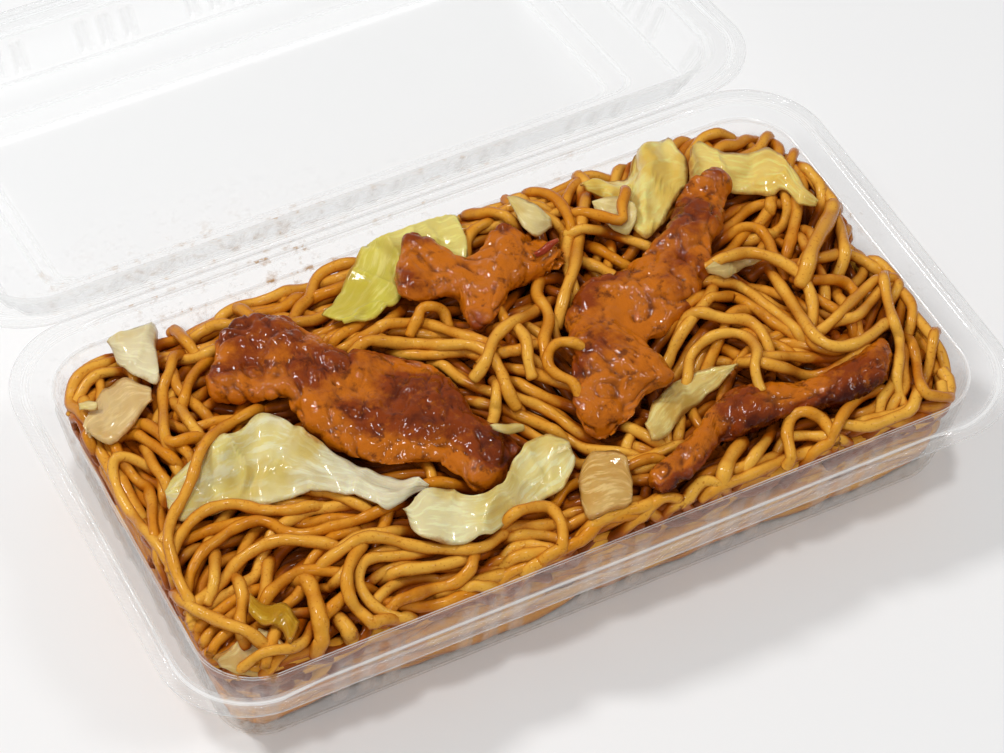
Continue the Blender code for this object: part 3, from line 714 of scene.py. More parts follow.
@dataclass(frozen=True)
class ClearFinish:
    """Clear gloss plastic, a little milky, with smears of sauce and a knurled edge strip; rib flanks, rib bands,
    creases and steep slopes are also painted milky white as painted highlight and painted reflection.
    """

    name: str
    milk_and_sheen_white: Colour = (0.95, 0.96, 0.96)
    sauce: Colour = (0.50, 0.27, 0.08)
    haze_and_sheen: float = 0.012
    edge: Colour = (0.95, 0.95, 0.95)

    def make(self) -> bpy.types.Material:
        """Build the material."""
        sheet = NodeSheet(self.name + "_finish")
        smear, knurl = sheet.value_of("smear"), sheet.value_of("knurl")
        gone, margin = sheet.value_of("gone"), sheet.value_of("margin")
        slant = sheet.maths("ADD", gone, sheet.maths("MULTIPLY", margin, 1.0))
        hatch = sheet.maths("SINE", sheet.maths("MULTIPLY", slant, 2 * math.pi / 1.1))
        height = sheet.maths("ADD", sheet.maths("MULTIPLY", hatch, sheet.maths("MULTIPLY", knurl, 0.5)),
                             sheet.maths("MULTIPLY", sheet.noise(120, 2.0), 0.30))
        normal = sheet.bump(height, 0.12)
        blots = sheet.ramp(sheet.noise(330, 3.0, 0.72), 0.52, 0.68)
        dirt = sheet.maths("MULTIPLY", smear, sheet.maths("MULTIPLY", blots, 0.34))
        colour = sheet.blend(sheet.ramp(dirt, 0.0, 0.2), self.milk_and_sheen_white, self.sauce)
        # Steep slopes get more milky white: a painted reflection of the white room, besides the real gloss.
        slope = sheet.add("ShaderNodeLayerWeight", Blend=0.5, Normal=normal).outputs["Facing"]
        steep = sheet.maths("POWER", slope, 3.0)
        haze_and_sheen = sheet.maths("ADD", dirt, self.haze_and_sheen)
        # The knurled strip's whiteness is its real texture; rib flanks, rib bands, creases (line) and steep slopes are
        # painted milky white as painted highlights and reflection.
        for value, share in ((knurl, 0.07), (sheet.value_of("flank"), 0.20), (sheet.value_of("band"), 0.10),
                             (sheet.value_of("line"), 0.60), (steep, 0.06)):
            haze_and_sheen = sheet.maths("ADD", haze_and_sheen, sheet.maths("MULTIPLY", value, share))
        clear = sheet.add("ShaderNodeBsdfTransparent", Color=sheet.blend(steep, (0.996, 0.997, 0.997), self.edge))
        gloss = sheet.add("ShaderNodeBsdfGlossy", Color=(1.0, 1.0, 1.0, 1.0), Roughness=0.06, Normal=normal)
        shine = sheet.maths("MULTIPLY_ADD", steep, 0.14)
        shine.node.inputs[2].default_value = 0.026
        glassy = sheet.add("ShaderNodeMixShader", Fac=shine, _1=clear.outputs[0], _2=gloss.outputs[0])
        skin = sheet.add("ShaderNodeBsdfPrincipled", Base__Color=colour, Roughness=0.25)
        through = sheet.add("ShaderNodeBsdfTranslucent", Color=colour)
        milky = sheet.add("ShaderNodeMixShader", Fac=0.5, _1=skin.outputs[0], _2=through.outputs[0])
        both = sheet.add("ShaderNodeMixShader", Fac=haze_and_sheen, _1=glassy.outputs[0], _2=milky.outputs[0])
        return sheet.finish(both.outputs[0])


@dataclass(frozen=True)
class Ring:
    """One loop of the pack's sheet: its margin and height, what stands out there, how much painted highlight its crease
    gets.
    """

    margin: float
    height: float
    rib: float = 0.0
    bead: float = 0.0
    line: float = 0.0


def rings_between(first: Ring, last: Ring, count: int, band: tuple[float, float], ribs: bool) -> list[Ring]:
    """Loops down a wall, with ribs that fade in and out over a band.

    Args:
        first: where the wall starts.
        last: where it ends.
        count: how many loops, without the first.
        band: shares of the way at which the ribs begin and end.
        ribs: whether the wall has ribs.

    Returns:
        The loops, from after the first to the last.
    """
    made = []
    for k in range(1, count + 1):
        t = k / count
        rise = np.clip((t - band[0]) / 0.10, 0, 1) * np.clip((band[1] - t) / 0.10, 0, 1)
        rib = float(rise * rise * (3 - 2 * rise)) if ribs else 0.0
        made.append(Ring(first.margin + (last.margin - first.margin) * t,
                         first.height + (last.height - first.height) * t, rib))
    return made


@dataclass
class ClearShell:
    """One half of the clear pack, lofted through loops of its outline."""

    name: str
    plan: PackPlan = PLAN
    smears: tuple[tuple[float, float, float, float], ...] = ()

    def flange(self) -> list[Ring]:
        """The rim: knurled edge strip, raised bead and flat inner flange."""
        plan = self.plan
        low, crest, high = plan.bead
        tall = plan.bead_height
        return [
            Ring(0.1, 0.0, line=0.5), Ring(0.4, 0.02), Ring(1.2, 0.05), Ring(low - 0.2, 0.0), Ring(low, 0.06, line=0.4),
            Ring((low + crest) / 2 - 0.1, 0.0, 0.0, 0.55 * tall), Ring(crest - 0.15, 0.0, 0.0, 0.95 * tall, 1.0),
            Ring(crest + 0.15, 0.0, 0.0, 0.95 * tall, 1.0), Ring((crest + high) / 2 + 0.1, 0.0, 0.0, 0.55 * tall),
            Ring(high, 0.06, line=0.5), Ring(high + 0.3, 0.0), Ring((high + plan.flange) / 2, 0.0),
            Ring(plan.flange - 0.7, 0.0),
        ]

    def loft(self, rings: Sequence[Ring], lift: float, upward: bool) -> bpy.types.Object:
        """Skin the loops, close the last one and give the sheet its thickness.

        Args:
            rings: loops from the outer edge to the flat panel.
            lift: height that is added to every loop.
            upward: whether the thickness grows upwards from the modelled face.

        Returns:
            The sheet as an object.
        """
        plan = self.plan
        rows, way, inner = [], [], []
        for ring in rings:
            line = plan.outline(ring.margin)
            spots = line.spots + line.outs * (plan.rib_depth * ring.rib * line.ribs)[:, None]
            height = lift + ring.height + ring.bead * line.beads
            rows.append(np.column_stack([spots, height]))
            way.append(line.gone)
            inner.append(np.full(len(spots), ring.margin))
        count = len(rows[0])
        last = rows[-1]
        centre = last.mean(axis=0)
        for shrink in (0.8, 0.5, 0.2):
            rows.append(centre + (last - centre) * shrink)
            way.append(way[-1])
            inner.append(inner[-1] + 5)
        points = np.vstack(rows)
        faces = grid_faces(len(rows), count, closed=True)
        margin = np.concatenate(inner)
        # flank, band and line say where painted highlights lie on the sheet.
        flanks = [np.abs(np.gradient(plan.outline(r.margin).ribs)) * 2.4 * r.rib for r in rings]
        flanks += [flanks[-1] * 0] * 3
        bands = [plan.outline(r.margin).ribs * r.rib for r in rings] + [flanks[-1]] * 3
        lines = [np.full(count, r.line) for r in rings] + [flanks[-1]] * 3
        values = {
            "flank": np.clip(np.concatenate(flanks), 0, 1),
            "band": np.concatenate(bands), "line": np.concatenate(lines),
            "gone": np.concatenate(way), "margin": margin,
            "knurl": ((margin > 0.2) & (margin < plan.bead[0])).astype(float),
            "smear": self.smear_of(points),
        }
        obj = make_object(self.name, points, faces, values)
        bm = bmesh.new()
        bm.from_mesh(obj.data)
        bm.verts.ensure_lookup_table()
        bm.faces.new([bm.verts[(len(rows) - 1) * count + k] for k in range(count)])
        bmesh.ops.recalc_face_normals(bm, faces=bm.faces[:])
        broad = max(bm.faces, key=lambda face: face.calc_area())
        if (broad.normal.z > 0) != upward:
            bmesh.ops.reverse_faces(bm, faces=bm.faces[:])
        bm.to_mesh(obj.data)
        bm.free()
        skin = obj.modifiers.new("Sheet", "SOLIDIFY")
        skin.thickness = plan.sheet * MM
        skin.offset = 1.0
        obj.data.shade_smooth()
        return obj

    def smear_of(self, points: np.ndarray) -> np.ndarray:
        """How much sauce lies near each point, from a few round spots."""
        total = np.zeros(len(points))
        for x, y, reach, strength in self.smears:
            away = ((points[:, 0] - x) ** 2 + (points[:, 1] - y) ** 2) / reach ** 2
            total += strength * np.exp(-away)
        return np.clip(total, 0, 1)


@dataclass
class Tray(ClearShell):
    """The deep half, which holds the food."""

    name: str = "tray_clear"
    smears: tuple[tuple[float, float, float, float], ...] = (
        (-60, 48, 12, 0.7), (-30, 49, 14, 0.8), (0, 49, 10, 0.6), (-84, 40, 8, 0.6), (90, 10, 7, 0.6),
        (90, -12, 6, 0.5), (-86, -44, 7, 0.8), (-78, -49, 5, 0.5), (40, 49, 9, 0.4), (60, -48, 30, 0.25),
        (-30, -48, 40, 0.25),
    )

    def build(self) -> bpy.types.Object:
        """Make the tray's sheet."""
        plan = self.plan
        rim = Ring(plan.flange - 0.7, 0.0)
        roll = [Ring(plan.flange - 0.25, -0.12, line=0.9), Ring(plan.flange + 0.05, -0.45, line=0.5),
                Ring(plan.flange + 0.2, -1.2)]
        foot = Ring(plan.flange + plan.draft - 0.25, plan.sheet + 1.2 - plan.rim)
        wall = rings_between(roll[-1], foot, 26, (0.07, 0.93), True)
        sole = [
            Ring(plan.flange + plan.draft + 0.1, plan.sheet + 0.45 - plan.rim, line=0.5),
            Ring(plan.flange + plan.draft + 0.7, plan.sheet + 0.08 - plan.rim),
            Ring(plan.flange + plan.draft + 1.6, plan.sheet - plan.rim),
        ]
        rings = self.flange()[:-1] + [rim] + roll + wall + sole
        return self.loft(rings, plan.rim, upward=False)

    def dress(self, obj: bpy.types.Object) -> None:
        """Give the tray its finish and its place."""
        settle(obj, Body.BASE, "tray", ["tray"], ClearFinish("tray").make())
        obj.visible_shadow = False


@dataclass
class Lid(ClearShell):
    """The shallow half, folded right back on its hinge until its panel meets the table."""

    name: str = "lid_clear"
    wall_foot: float = 15.0
    wall_height: float = 10.5
    ledge_end: float = 25.0
    ledge_height: float = 11.5
    panel_margin: float = 29.0
    height: float = 15.0
    smears: tuple[tuple[float, float, float, float], ...] = (
        (-60, 44, 22, 0.5), (-20, 44, 20, 0.5), (20, 45, 16, 0.4), (-40, 30, 14, 0.2), (-75, 30, 10, 0.2),
    )

    def droop(self) -> float:
        """How far past level the lid lies back, in radians."""
        plan = self.plan
        reach = plan.width + plan.hinge_gap - self.panel_margin
        depth = plan.lid_gap / 2 + self.height + plan.sheet
        height = plan.rim + plan.lid_gap / 2 - plan.floor_gap
        return math.asin(height / math.hypot(reach, depth)) - math.atan2(depth, reach)

    def build(self) -> bpy.types.Object:
        """Make the lid's sheet shut, then fold it back about the hinge."""
        plan = self.plan
        flange = plan.flange
        roll = [Ring(flange - 0.3, 0.05, line=0.7), Ring(flange + 0.1, 0.3, line=0.5), Ring(flange + 0.5, 0.9)]
        foot = Ring(self.wall_foot - 0.5, self.wall_height - 0.9)
        wall = rings_between(roll[-1], foot, 14, (0.10, 0.95), True)
        top = [
            Ring(self.wall_foot - 0.15, self.wall_height - 0.35, line=0.6),
            Ring(self.wall_foot + 0.4, self.wall_height - 0.03),
            Ring(self.wall_foot + 1.4, self.wall_height + 0.12), Ring(self.ledge_end - 1.0, self.ledge_height - 0.1),
            Ring(self.ledge_end, self.ledge_height + 0.1, line=0.6), Ring(self.ledge_end + 0.6, self.ledge_height + 0.6),
            Ring(self.panel_margin - 0.8, self.height - 0.6), Ring(self.panel_margin - 0.1, self.height - 0.1, line=0.5),
            Ring(self.panel_margin + 1.0, self.height),
        ]
        obj = self.loft(self.flange()[:-1] + roll + wall + top, plan.lid_gap / 2, upward=True)
        hinge = Vector((0, (plan.width / 2 + plan.hinge_gap) * MM, (plan.rim + plan.lid_gap / 2) * MM))
        shut = Matrix.Translation((0, -(plan.width / 2 + plan.hinge_gap) * MM, 0))
        turn = Matrix.Rotation(-math.pi - self.droop(), 4, "X")
        obj.data.transform(Matrix.Translation(hinge) @ turn @ shut)
        return obj

    def dress(self, obj: bpy.types.Object) -> None:
        """Give the lid its finish and its place."""
        settle(obj, Body.LID, "lid", ["lid"], ClearFinish("lid", haze_and_sheen=0.008).make())
        obj.visible_shadow = False


@dataclass
class HingeWeb:
    """The thin bent strip that joins the two flanges."""

    half_length: float = 78.0
    overlap: float = 0.35
    columns: int = 120
    rows: int = 9
    dip: float = 0.25

    def build(self) -> bpy.types.Object:
        """Make the strip across the gap between the halves."""
        width = PLAN.hinge_gap * 2 + 2 * self.overlap
        start = PLAN.width / 2 - self.overlap
        x = np.linspace(-self.half_length, self.half_length, self.columns)
        t = np.linspace(0, 1, self.rows)
        grid_t, grid_x = np.meshgrid(t, x, indexing="ij")
        y = start + grid_t * width
        z = PLAN.rim - 0.15 - self.dip * np.sin(np.pi * grid_t) + 0.1 * grid_t
        points = np.stack([grid_x, y, z], axis=-1).reshape(-1, 3)
        zero = np.zeros(len(points))
        values = {"smear": zero, "knurl": zero, "gone": points[:, 0], "margin": zero, "flank": zero}
        obj = make_object("hinge_web", points, grid_faces(self.rows, self.columns), values)
        return obj

    def dress(self, obj: bpy.types.Object) -> None:
        """Give the strip its clear finish; it casts no shadow."""
        obj.data.materials.append(ClearFinish("hinge").make())
        obj.visible_shadow = False
        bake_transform(obj)
        LOG.info("%s: bends from base to lid", obj.name)


@dataclass
class Strand:
    """One noodle: its middle line, its radius and its own shade."""

    path: np.ndarray
    radius: float
    tone: float

    def mesh(self, sides: int, depth_of: Callable[[np.ndarray], np.ndarray]) -> "Part":
        """A tube with rounded ends.

        Args:
            sides: number of points round the tube.
            depth_of: says how deep in the heap each point lies, from 0 to 1.

        Returns:
            The tube's points, triangles and shades.
        """
        path = self.path
        along = np.gradient(path, axis=0)
        along /= np.linalg.norm(along, axis=1)[:, None] + 1e-9
        ends = np.array([0.92, 0.62, 0.25])
        shrink = np.sqrt(1 - (1 - ends[::-1]) ** 2)
        first = path[0] - along[0] * self.radius * ends[:, None] * 0.8
        last = path[-1] + along[-1] * self.radius * ends[::-1][:, None] * 0.8
        points = np.vstack([first, path, last])
        along = np.vstack([np.repeat(along[:1], 3, 0), along, np.repeat(along[-1:], 3, 0)])
        across = np.cross(along, (0.0, 0.0, 1.0))
        across /= np.linalg.norm(across, axis=1)[:, None] + 1e-9
        over = np.cross(across, along)
        swell = 1 + 0.07 * np.sin(np.arange(len(points)) * 0.55 + self.tone * 40) \
            + 0.04 * np.sin(np.arange(len(points)) * 1.31 + self.tone * 90)
        radii = self.radius * swell * np.concatenate([shrink, np.ones(len(path)), shrink[::-1]])
        turn = np.arange(sides) / sides * 2 * np.pi
        ring = np.cos(turn)[None, :, None] * across[:, None] + np.sin(turn)[None, :, None] * over[:, None]
        skin = (points[:, None] + ring * radii[:, None, None]).reshape(-1, 3)
        quads = grid_faces(len(points), sides, closed=True)
        tris = np.vstack([quads[:, [0, 2, 1]], quads[:, [0, 3, 2]]])
        tips = np.vstack([points[0] - along[0] * self.radius * 0.05, points[-1] + along[-1] * self.radius * 0.05])
        base = len(skin)
        k = np.arange(sides)
        tail = (len(points) - 1) * sides
        fans = np.vstack([
            np.column_stack([np.full(sides, base), k, (k + 1) % sides]),
            np.column_stack([np.full(sides, base + 1), tail + (k + 1) % sides, tail + k]),
        ])
        skin = np.vstack([skin, tips])
        values = {"tone": np.full(len(skin), self.tone), "depth": depth_of(skin)}
        return Part(skin, np.vstack([tris, fans]), values)


@dataclass
class Part:
    """Points, faces and named numbers of one mesh, before it is an object."""

    points: np.ndarray
    faces: np.ndarray
    values: dict[str, np.ndarray]


def join(parts: Iterable[Part]) -> Part:
    """Put several meshes together as one.

    Args:
        parts: the meshes, all with the same named numbers.

    Returns:
        One mesh.
    """
    parts = list(parts)
    shift = np.cumsum([0] + [len(p.points) for p in parts[:-1]])
    faces = np.vstack([p.faces + s for p, s in zip(parts, shift)])
    values = {key: np.concatenate([p.values[key] for p in parts]) for key in parts[0].values}
    return Part(np.vstack([p.points for p in parts]), faces, values)


@dataclass
class NoodleHeap:
    """The noodles: a sunken dark core of sauce and painted shade, strands along the clear walls, filling and traced
    strands.
    """

    ground: Ground
    fine_step: float = 0.95
    fill_step: float = 1.3
    side_step: float = 1.9
    sink: float = 0.62
    seed: int = 20
    length_budget: float = 15000.0
    low: list[Strand] = field(default_factory=list)
    high: list[Strand] = field(default_factory=list)
    sides: list[Strand] = field(default_factory=list)

    def __post_init__(self) -> None:
        """Seed the choices that make each strand differ."""
        self.random = np.random.default_rng(self.seed)
        self.way_points = np.zeros((0, 2))
        self.way_turns = np.zeros((0, 2))

    def keep_inside(self, path: np.ndarray, radius: float) -> np.ndarray:
        """Push a path off the tray's wall and under the shut lid.

        Args:
            path: the strand's middle line.
            radius: its radius.

        Returns:
            The moved path.
        """
        path = path.copy()
        for _ in range(3):
            lean = np.clip((PLAN.rim - path[:, 2]) / 27.5, 0, 1) * PLAN.draft
            need = radius + 0.75 + lean - PLAN.wall_distance(path[:, 0], path[:, 1])
            push = np.maximum(need, 0)
            side_x = PLAN.length / 2 - np.abs(path[:, 0])
            side_y = PLAN.width / 2 - np.abs(path[:, 1])
            corner = (side_x < 24) & (side_y < 24)
            share_x = np.where(corner, 0.71, side_x < side_y)
            share_y = np.where(corner, 0.71, side_x >= side_y)
            path[:, 0] -= np.sign(path[:, 0]) * push * share_x
            path[:, 1] -= np.sign(path[:, 1]) * push * share_y
        reach = radius * 1.12 + 0.12
        roof = np.min([PLAN.lid_ceiling(path[:, 0], path[:, 1], reach * math.cos(a)) - reach * math.sin(a)
                       for a in (0.25, 0.5, 0.8, 1.2, 1.57)], axis=0) - 0.12
        path[:, 2] = np.minimum(path[:, 2], roof)
        return path

    def lay(self, flat: np.ndarray, radius: float, sink: float | None = None) -> np.ndarray:
        """Rest a strand on what lies below it.

        Args:
            flat: places of its middle line, seen from above.
            radius: its radius.
            sink: share of the radius by which it beds in.

        Returns:
            The middle line with its heights.
        """
        under = self.ground.under(flat, radius * 0.75)
        bed = radius * (1 - (self.sink if sink is None else sink))
        height = under + bed
        peak = height.copy()
        for k in (1, 2):
            peak[k:] = np.maximum(peak[k:], height[:-k] - 0.25 * k)
            peak[:-k] = np.maximum(peak[:-k], height[k:] - 0.25 * k)
        reach = min(4, max(1, len(flat) // 4))
        height = running_mean(peak, reach)
        return self.keep_inside(np.column_stack([flat, height]), radius)

    def trace(self, route: Route, radius: float, lift: float = 0.0) -> Strand:
        """Lay a strand where the photograph shows one.

        Args:
            route: its middle line in the photograph's pixels.
            radius: its radius.
            lift: how far it arches above what it lies on, at its middle.

        Returns:
            The strand.
        """
        pixels = smooth_curve(route, self.fine_step * 4.4)
        height = np.full(len(pixels), 32.0)
        path = np.zeros((len(pixels), 3))
        for _ in range(4):
            flat = VIEW.place(pixels, height)
            path = self.lay(flat, radius)
            path[:, 2] += lift * np.sin(np.linspace(0, np.pi, len(path))) ** 1.5
            path = self.keep_inside(path, radius)
            height = 0.5 * height + 0.5 * running_mean(path[:, 2], min(3, len(path) // 4))
        path[:, :2] = VIEW.place(pixels, path[:, 2])
        path = self.tuck_ends(self.keep_inside(path, radius), radius)
        return Strand(path, radius, float(self.random.uniform(0, 1)))

    def tuck_ends(self, path: np.ndarray, radius: float) -> np.ndarray:
        """Let a strand run on at both ends, down among the others.

        Args:
            path: its middle line.
            radius: its radius.

        Returns:
            The longer line.
        """
        step = np.linalg.norm(path[1] - path[0]) + 1e-6
        count = int(self.random.uniform(4.0, 7.0) / step)
        gone = np.arange(1, count + 1) * step
        made = path
        for _ in range(2):
            made = made[::-1]
            ahead = made[-1, :2] - made[-4, :2]
            ahead = ahead / (np.linalg.norm(ahead) + 1e-9)
            swing = self.random.uniform(-0.09, 0.09)
            turned = np.column_stack([ahead[0] - ahead[1] * swing * gone, ahead[1] + ahead[0] * swing * gone])
            tail = np.column_stack([made[-1, :2] + turned * (gone * 0.86)[:, None], made[-1, 2] - 0.16 * gone ** 1.9])
            made = np.vstack([made, tail])
        made[:, 2] = running_mean(made[:, 2], 2)
        return self.keep_inside(made, radius)

    def add_traced(self, routes: Sequence[Route], radius: float = 1.28, lift: float = 0.0) -> None:
        """Lay several traced strands on the heap."""
        for route in routes:
            own = radius * float(self.random.uniform(0.94, 1.08))
            strand = self.trace(route, own, lift)
            self.ground.add_strand(strand.path, own)
            self.high.append(strand)

    def learn_way(self, routes: Sequence[Route]) -> None:
        """Keep the directions of the traced strands, so that the filling runs with them."""
        spots, turns = [], []
        for route in routes:
            pixels = smooth_curve(route, 9.0)
            flat = VIEW.place(pixels, np.full(len(pixels), 31.0))
            angle = np.arctan2(*np.gradient(flat, axis=0).T[::-1])
            spots.append(flat)
            turns.append(np.column_stack([np.cos(2 * angle), np.sin(2 * angle)]))
        self.way_points, self.way_turns = np.vstack(spots), np.vstack(turns)

    def way(self, spot: np.ndarray) -> tuple[float, float]:
        """The usual direction of strands near a place, and how sure it is."""
        weight = np.exp(-((self.way_points - spot) ** 2).sum(axis=1) / (2 * 6.5 ** 2))
        pull = (self.way_turns * weight[:, None]).sum(axis=0)
        total = weight.sum() + 0.4
        return 0.5 * math.atan2(pull[1], pull[0]), float(np.hypot(*pull) / total)

    def grow(self, start: np.ndarray, heading: float, reach: float) -> list[np.ndarray]:
        """Let a filling strand find its way through the lower places.

        Args:
            start: where it begins.
            heading: its first direction.
            reach: its length.

        Returns:
            The places it passes, without the first.
        """
        ground, spot, made = self.ground, start.copy(), []
        drift = self.random.uniform(-0.05, 0.05)
        stride = 3.2
        for _ in range(int(reach / stride)):
            angle, sure = self.way(spot)
            options = heading + drift + np.array([-0.42, -0.2, 0.0, 0.2, 0.42])
            spots = spot + stride * np.column_stack([np.cos(options), np.sin(options)])
            hollow = ground.read(ground.target, spots) - ground.under(spots, 1.4)
            off = np.abs((options - angle + np.pi / 2) % np.pi - np.pi / 2)
            score = np.clip(hollow, -3, 3) * 0.55 - off * 1.6 * sure - np.abs(options - heading) * 0.8
            score -= np.maximum(3.2 - ground.read(ground.inside, spots), 0) * 3.0
            score += self.random.uniform(0, 0.35, 5)
            best = int(np.argmax(score))
            if len(made) > 4 and hollow[best] < -2.4:
                break
            heading = float(options[best])
            spot = spots[best]
            made.append(spot)
            if ground.read(ground.inside, spot[None])[0] < 1.0:
                break
        return made

    def fill(self, budget: float, slack: float, radius: float = 1.30) -> None:
        """Fill the hollows with strands until the heap reaches its height.

        Args:
            budget: length of noodle that may be used.
            slack: a hollow shallower than this is left.
            radius: usual radius of a strand.
        """
        ground = self.ground
        inner = np.argwhere(ground.inside > 2.4)
        used = 0.0
        while used < budget:
            picks = inner[self.random.integers(0, len(inner), 260)]
            spots = np.column_stack([ground.x[picks[:, 0], picks[:, 1]], ground.y[picks[:, 0], picks[:, 1]]])
            hollow = ground.target[picks[:, 0], picks[:, 1]] - ground.under(spots, 1.1)
            best = int(np.argmax(hollow))
            if hollow[best] < slack:
                break
            angle, sure = self.way(spots[best])
            heading = angle + self.random.normal(0, 0.25) if sure > 0.2 else self.random.uniform(0, math.pi)
            lengths = self.random.uniform(14, 42, 2)
            ahead = self.grow(spots[best], heading, lengths[0])
            behind = self.grow(spots[best], heading + math.pi, lengths[1])
            route = behind[::-1] + [spots[best]] + ahead
            if len(route) < 3:
                i, j = picks[best]
                ground.target[max(i - 1, 0):i + 2, max(j - 1, 0):j + 2] -= 1.0
                continue
            own = radius * float(self.random.uniform(0.92, 1.08))
            flat = smooth_curve(route, self.fill_step)
            path = self.lay(flat, own)
            ground.add_strand(path, own)
            self.low.append(Strand(self.tuck_ends(path, own), own, float(self.random.uniform(0, 1))))
            used += len(flat) * self.fill_step
        LOG.info("filled %.0f mm of noodle in %d strands", used, len(self.low))

    def line_walls(self) -> None:
        """Lay strands along the clear walls, from the floor to the brim."""
        line = PLAN.outline(PLAN.flange)
        count = len(line.spots)
        for level in np.arange(2.4, 23.6, 2.35):
            start = int(self.random.integers(0, count))
            done = 0
            while done < count:
                span = int(self.random.uniform(30, 110))
                index = (start + done + np.arange(0, span, 5)) % count
                radius = float(self.random.uniform(1.45, 1.75))
                slope = self.random.uniform(-5.5, 5.5)
                wave = self.random.uniform(0.6, 2.4) * np.sin(
                    np.linspace(0, self.random.uniform(2, 7), len(index)) + self.random.uniform(0, 6))
                height = level + wave + np.linspace(-slope, slope, len(index))
                height = np.clip(height, 0.85 + radius, 25.0)
                inward = radius + 0.75 + self.random.uniform(0, 0.9) + 0.5 * np.sin(np.linspace(0, 5, len(index)))
                tuck = np.minimum(np.arange(len(index)), np.arange(len(index))[::-1])
                inward = inward + 2.2 * np.exp(-tuck / 2.5)
                lean = np.clip((PLAN.rim - height) / 27.5, 0, 1) * PLAN.draft
                flat = line.spots[index] - line.outs[index] * (inward + lean)[:, None]
                path = smooth_curve(np.column_stack([flat, height]), self.side_step)
                self.sides.append(Strand(path, radius, float(self.random.uniform(0, 1))))
                done += span - 12

    def core(self) -> Part:
        """The closed body of sauce and painted shade that carries the strands."""
        line = PLAN.outline(PLAN.flange)
        spots, outs = line.spots[::4], line.outs[::4]
        rows = []
        floor = 0.75
        inset = 3.6
        for share in (0.03, 0.3, 0.6, 0.9):
            flat = (spots - outs * (inset + PLAN.draft)) * share
            rows.append(np.column_stack([flat, np.full(len(flat), floor)]))
        for height in np.linspace(floor + 0.8, 17.5, 12):
            lean = (PLAN.rim - height) / 27.5 * PLAN.draft
            flat = spots - outs * (inset + lean)
            rows.append(np.column_stack([flat, np.full(len(flat), height)]))
        for share in (*np.linspace(0.985, 0.10, 26), 0.03):
            flat = (spots - outs * (inset + 1.7)) * share
            rows.append(np.column_stack([flat, HEAP.height(flat[:, 0], flat[:, 1]) - CORE_SINK]))
        points = np.vstack(rows)
        swirl = 0.8 * grain_of(points, (0.22, 0.22, 0.22)) + 0.4 * grain_of(points, (0.6, 0.6, 0.6), 7.0)
        middle = points * (1, 1, 0)
        out = middle / (np.linalg.norm(middle, axis=1)[:, None] + 1e-6)
        lift = (points[:, 2] > floor + 0.4)[:, None]
        points = points + out * (swirl * 0.7)[:, None] * lift
        points[:, 2] += np.where(points[:, 2] > 17.6, swirl, 0)
        columns = len(spots)
        quads = grid_faces(len(rows), columns, closed=True)
        tris = np.vstack([quads[:, [0, 1, 2]], quads[:, [0, 2, 3]]])
        base, k = len(points), np.arange(columns)
        tail = (len(rows) - 1) * columns
        points = np.vstack([points, points[:columns].mean(axis=0), points[tail:].mean(axis=0)])
        fans = np.vstack([
            np.column_stack([np.full(columns, base), (k + 1) % columns, k]),
            np.column_stack([np.full(columns, base + 1), tail + k, tail + (k + 1) % columns]),
        ])
        return Part(points, np.vstack([tris, fans]), {"tone": np.zeros(len(points)), "depth": np.ones(len(points))})

    def depth_of(self, soft: np.ndarray) -> Callable[[np.ndarray], np.ndarray]:
        """Make the function that says how deep points lie under the heap's final surface."""
        # This depth is what the noodle finish turns into painted shade.
        def measure(points: np.ndarray) -> np.ndarray:
            """Depth from 0 at the surface to 1 at the bottom of a gap."""
            surface = self.ground.read(soft, points)
            return np.clip((surface - 2.2 - points[:, 2]) / 4.6, 0, 1)
        return measure

    def dress(self) -> None:
        """Make the meshes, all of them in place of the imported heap."""
        soft = self.ground.soft_top(3, 5)
        measure = self.depth_of(soft)
        noodle = NoodleFinish().make()
        sauce = self.core()
        batches = (
            ("noodle_core", sauce, SauceAndShadeFinish().make()),
            # The wall strands get a small, even amount of painted shade.
            ("noodles_by_walls", join(s.mesh(8, lambda p: np.full(len(p), 0.05)) for s in self.sides), noodle),
            ("noodles_within", join(s.mesh(9, measure) for s in self.low), noodle),
            ("noodles_on_top", join(s.mesh(12, measure) for s in self.high), noodle),
        )
        for name, part, finish in batches:
            obj = make_object(name, part.points, part.faces, part.values)
            settle(obj, Body.BASE, "noodles", ["noodles"], finish)
            LOG.info("%s: %d triangles", name, len(part.faces))


def trace_rows(rows: Rows, step: float) -> tuple[np.ndarray, np.ndarray, np.ndarray]:
    """Turn traced edge pairs into even stations.

    Args:
        rows: pairs of pixels, the far edge and the near edge.
        step: distance between stations in pixels.

    Returns:
        The far edge's pixels, the near edge's pixels and each station's share of the way.
    """
    pairs = np.array(rows, float).reshape(len(rows), 4)
    middle = (pairs[:, :2] + pairs[:, 2:]) / 2
    made = smooth_curve(np.hstack([middle, pairs]), step)
    return made[:, 2:4], made[:, 4:6], np.linspace(0, 1, len(made))


def to_triangles(quads: np.ndarray) -> np.ndarray:
    """Split quads into triangles."""
    return np.vstack([quads[:, [0, 1, 2]], quads[:, [0, 2, 3]]])


def normals_of(points: np.ndarray, faces: np.ndarray) -> np.ndarray:
    """Mean normal at each point of a mesh of triangles."""
    a, b, c = (points[faces[:, k]] for k in range(3))
    face = np.cross(b - a, c - a)
    total = np.zeros_like(points)
    for k in range(3):
        np.add.at(total, faces[:, k], face)
    return total / (np.linalg.norm(total, axis=1)[:, None] + 1e-12)


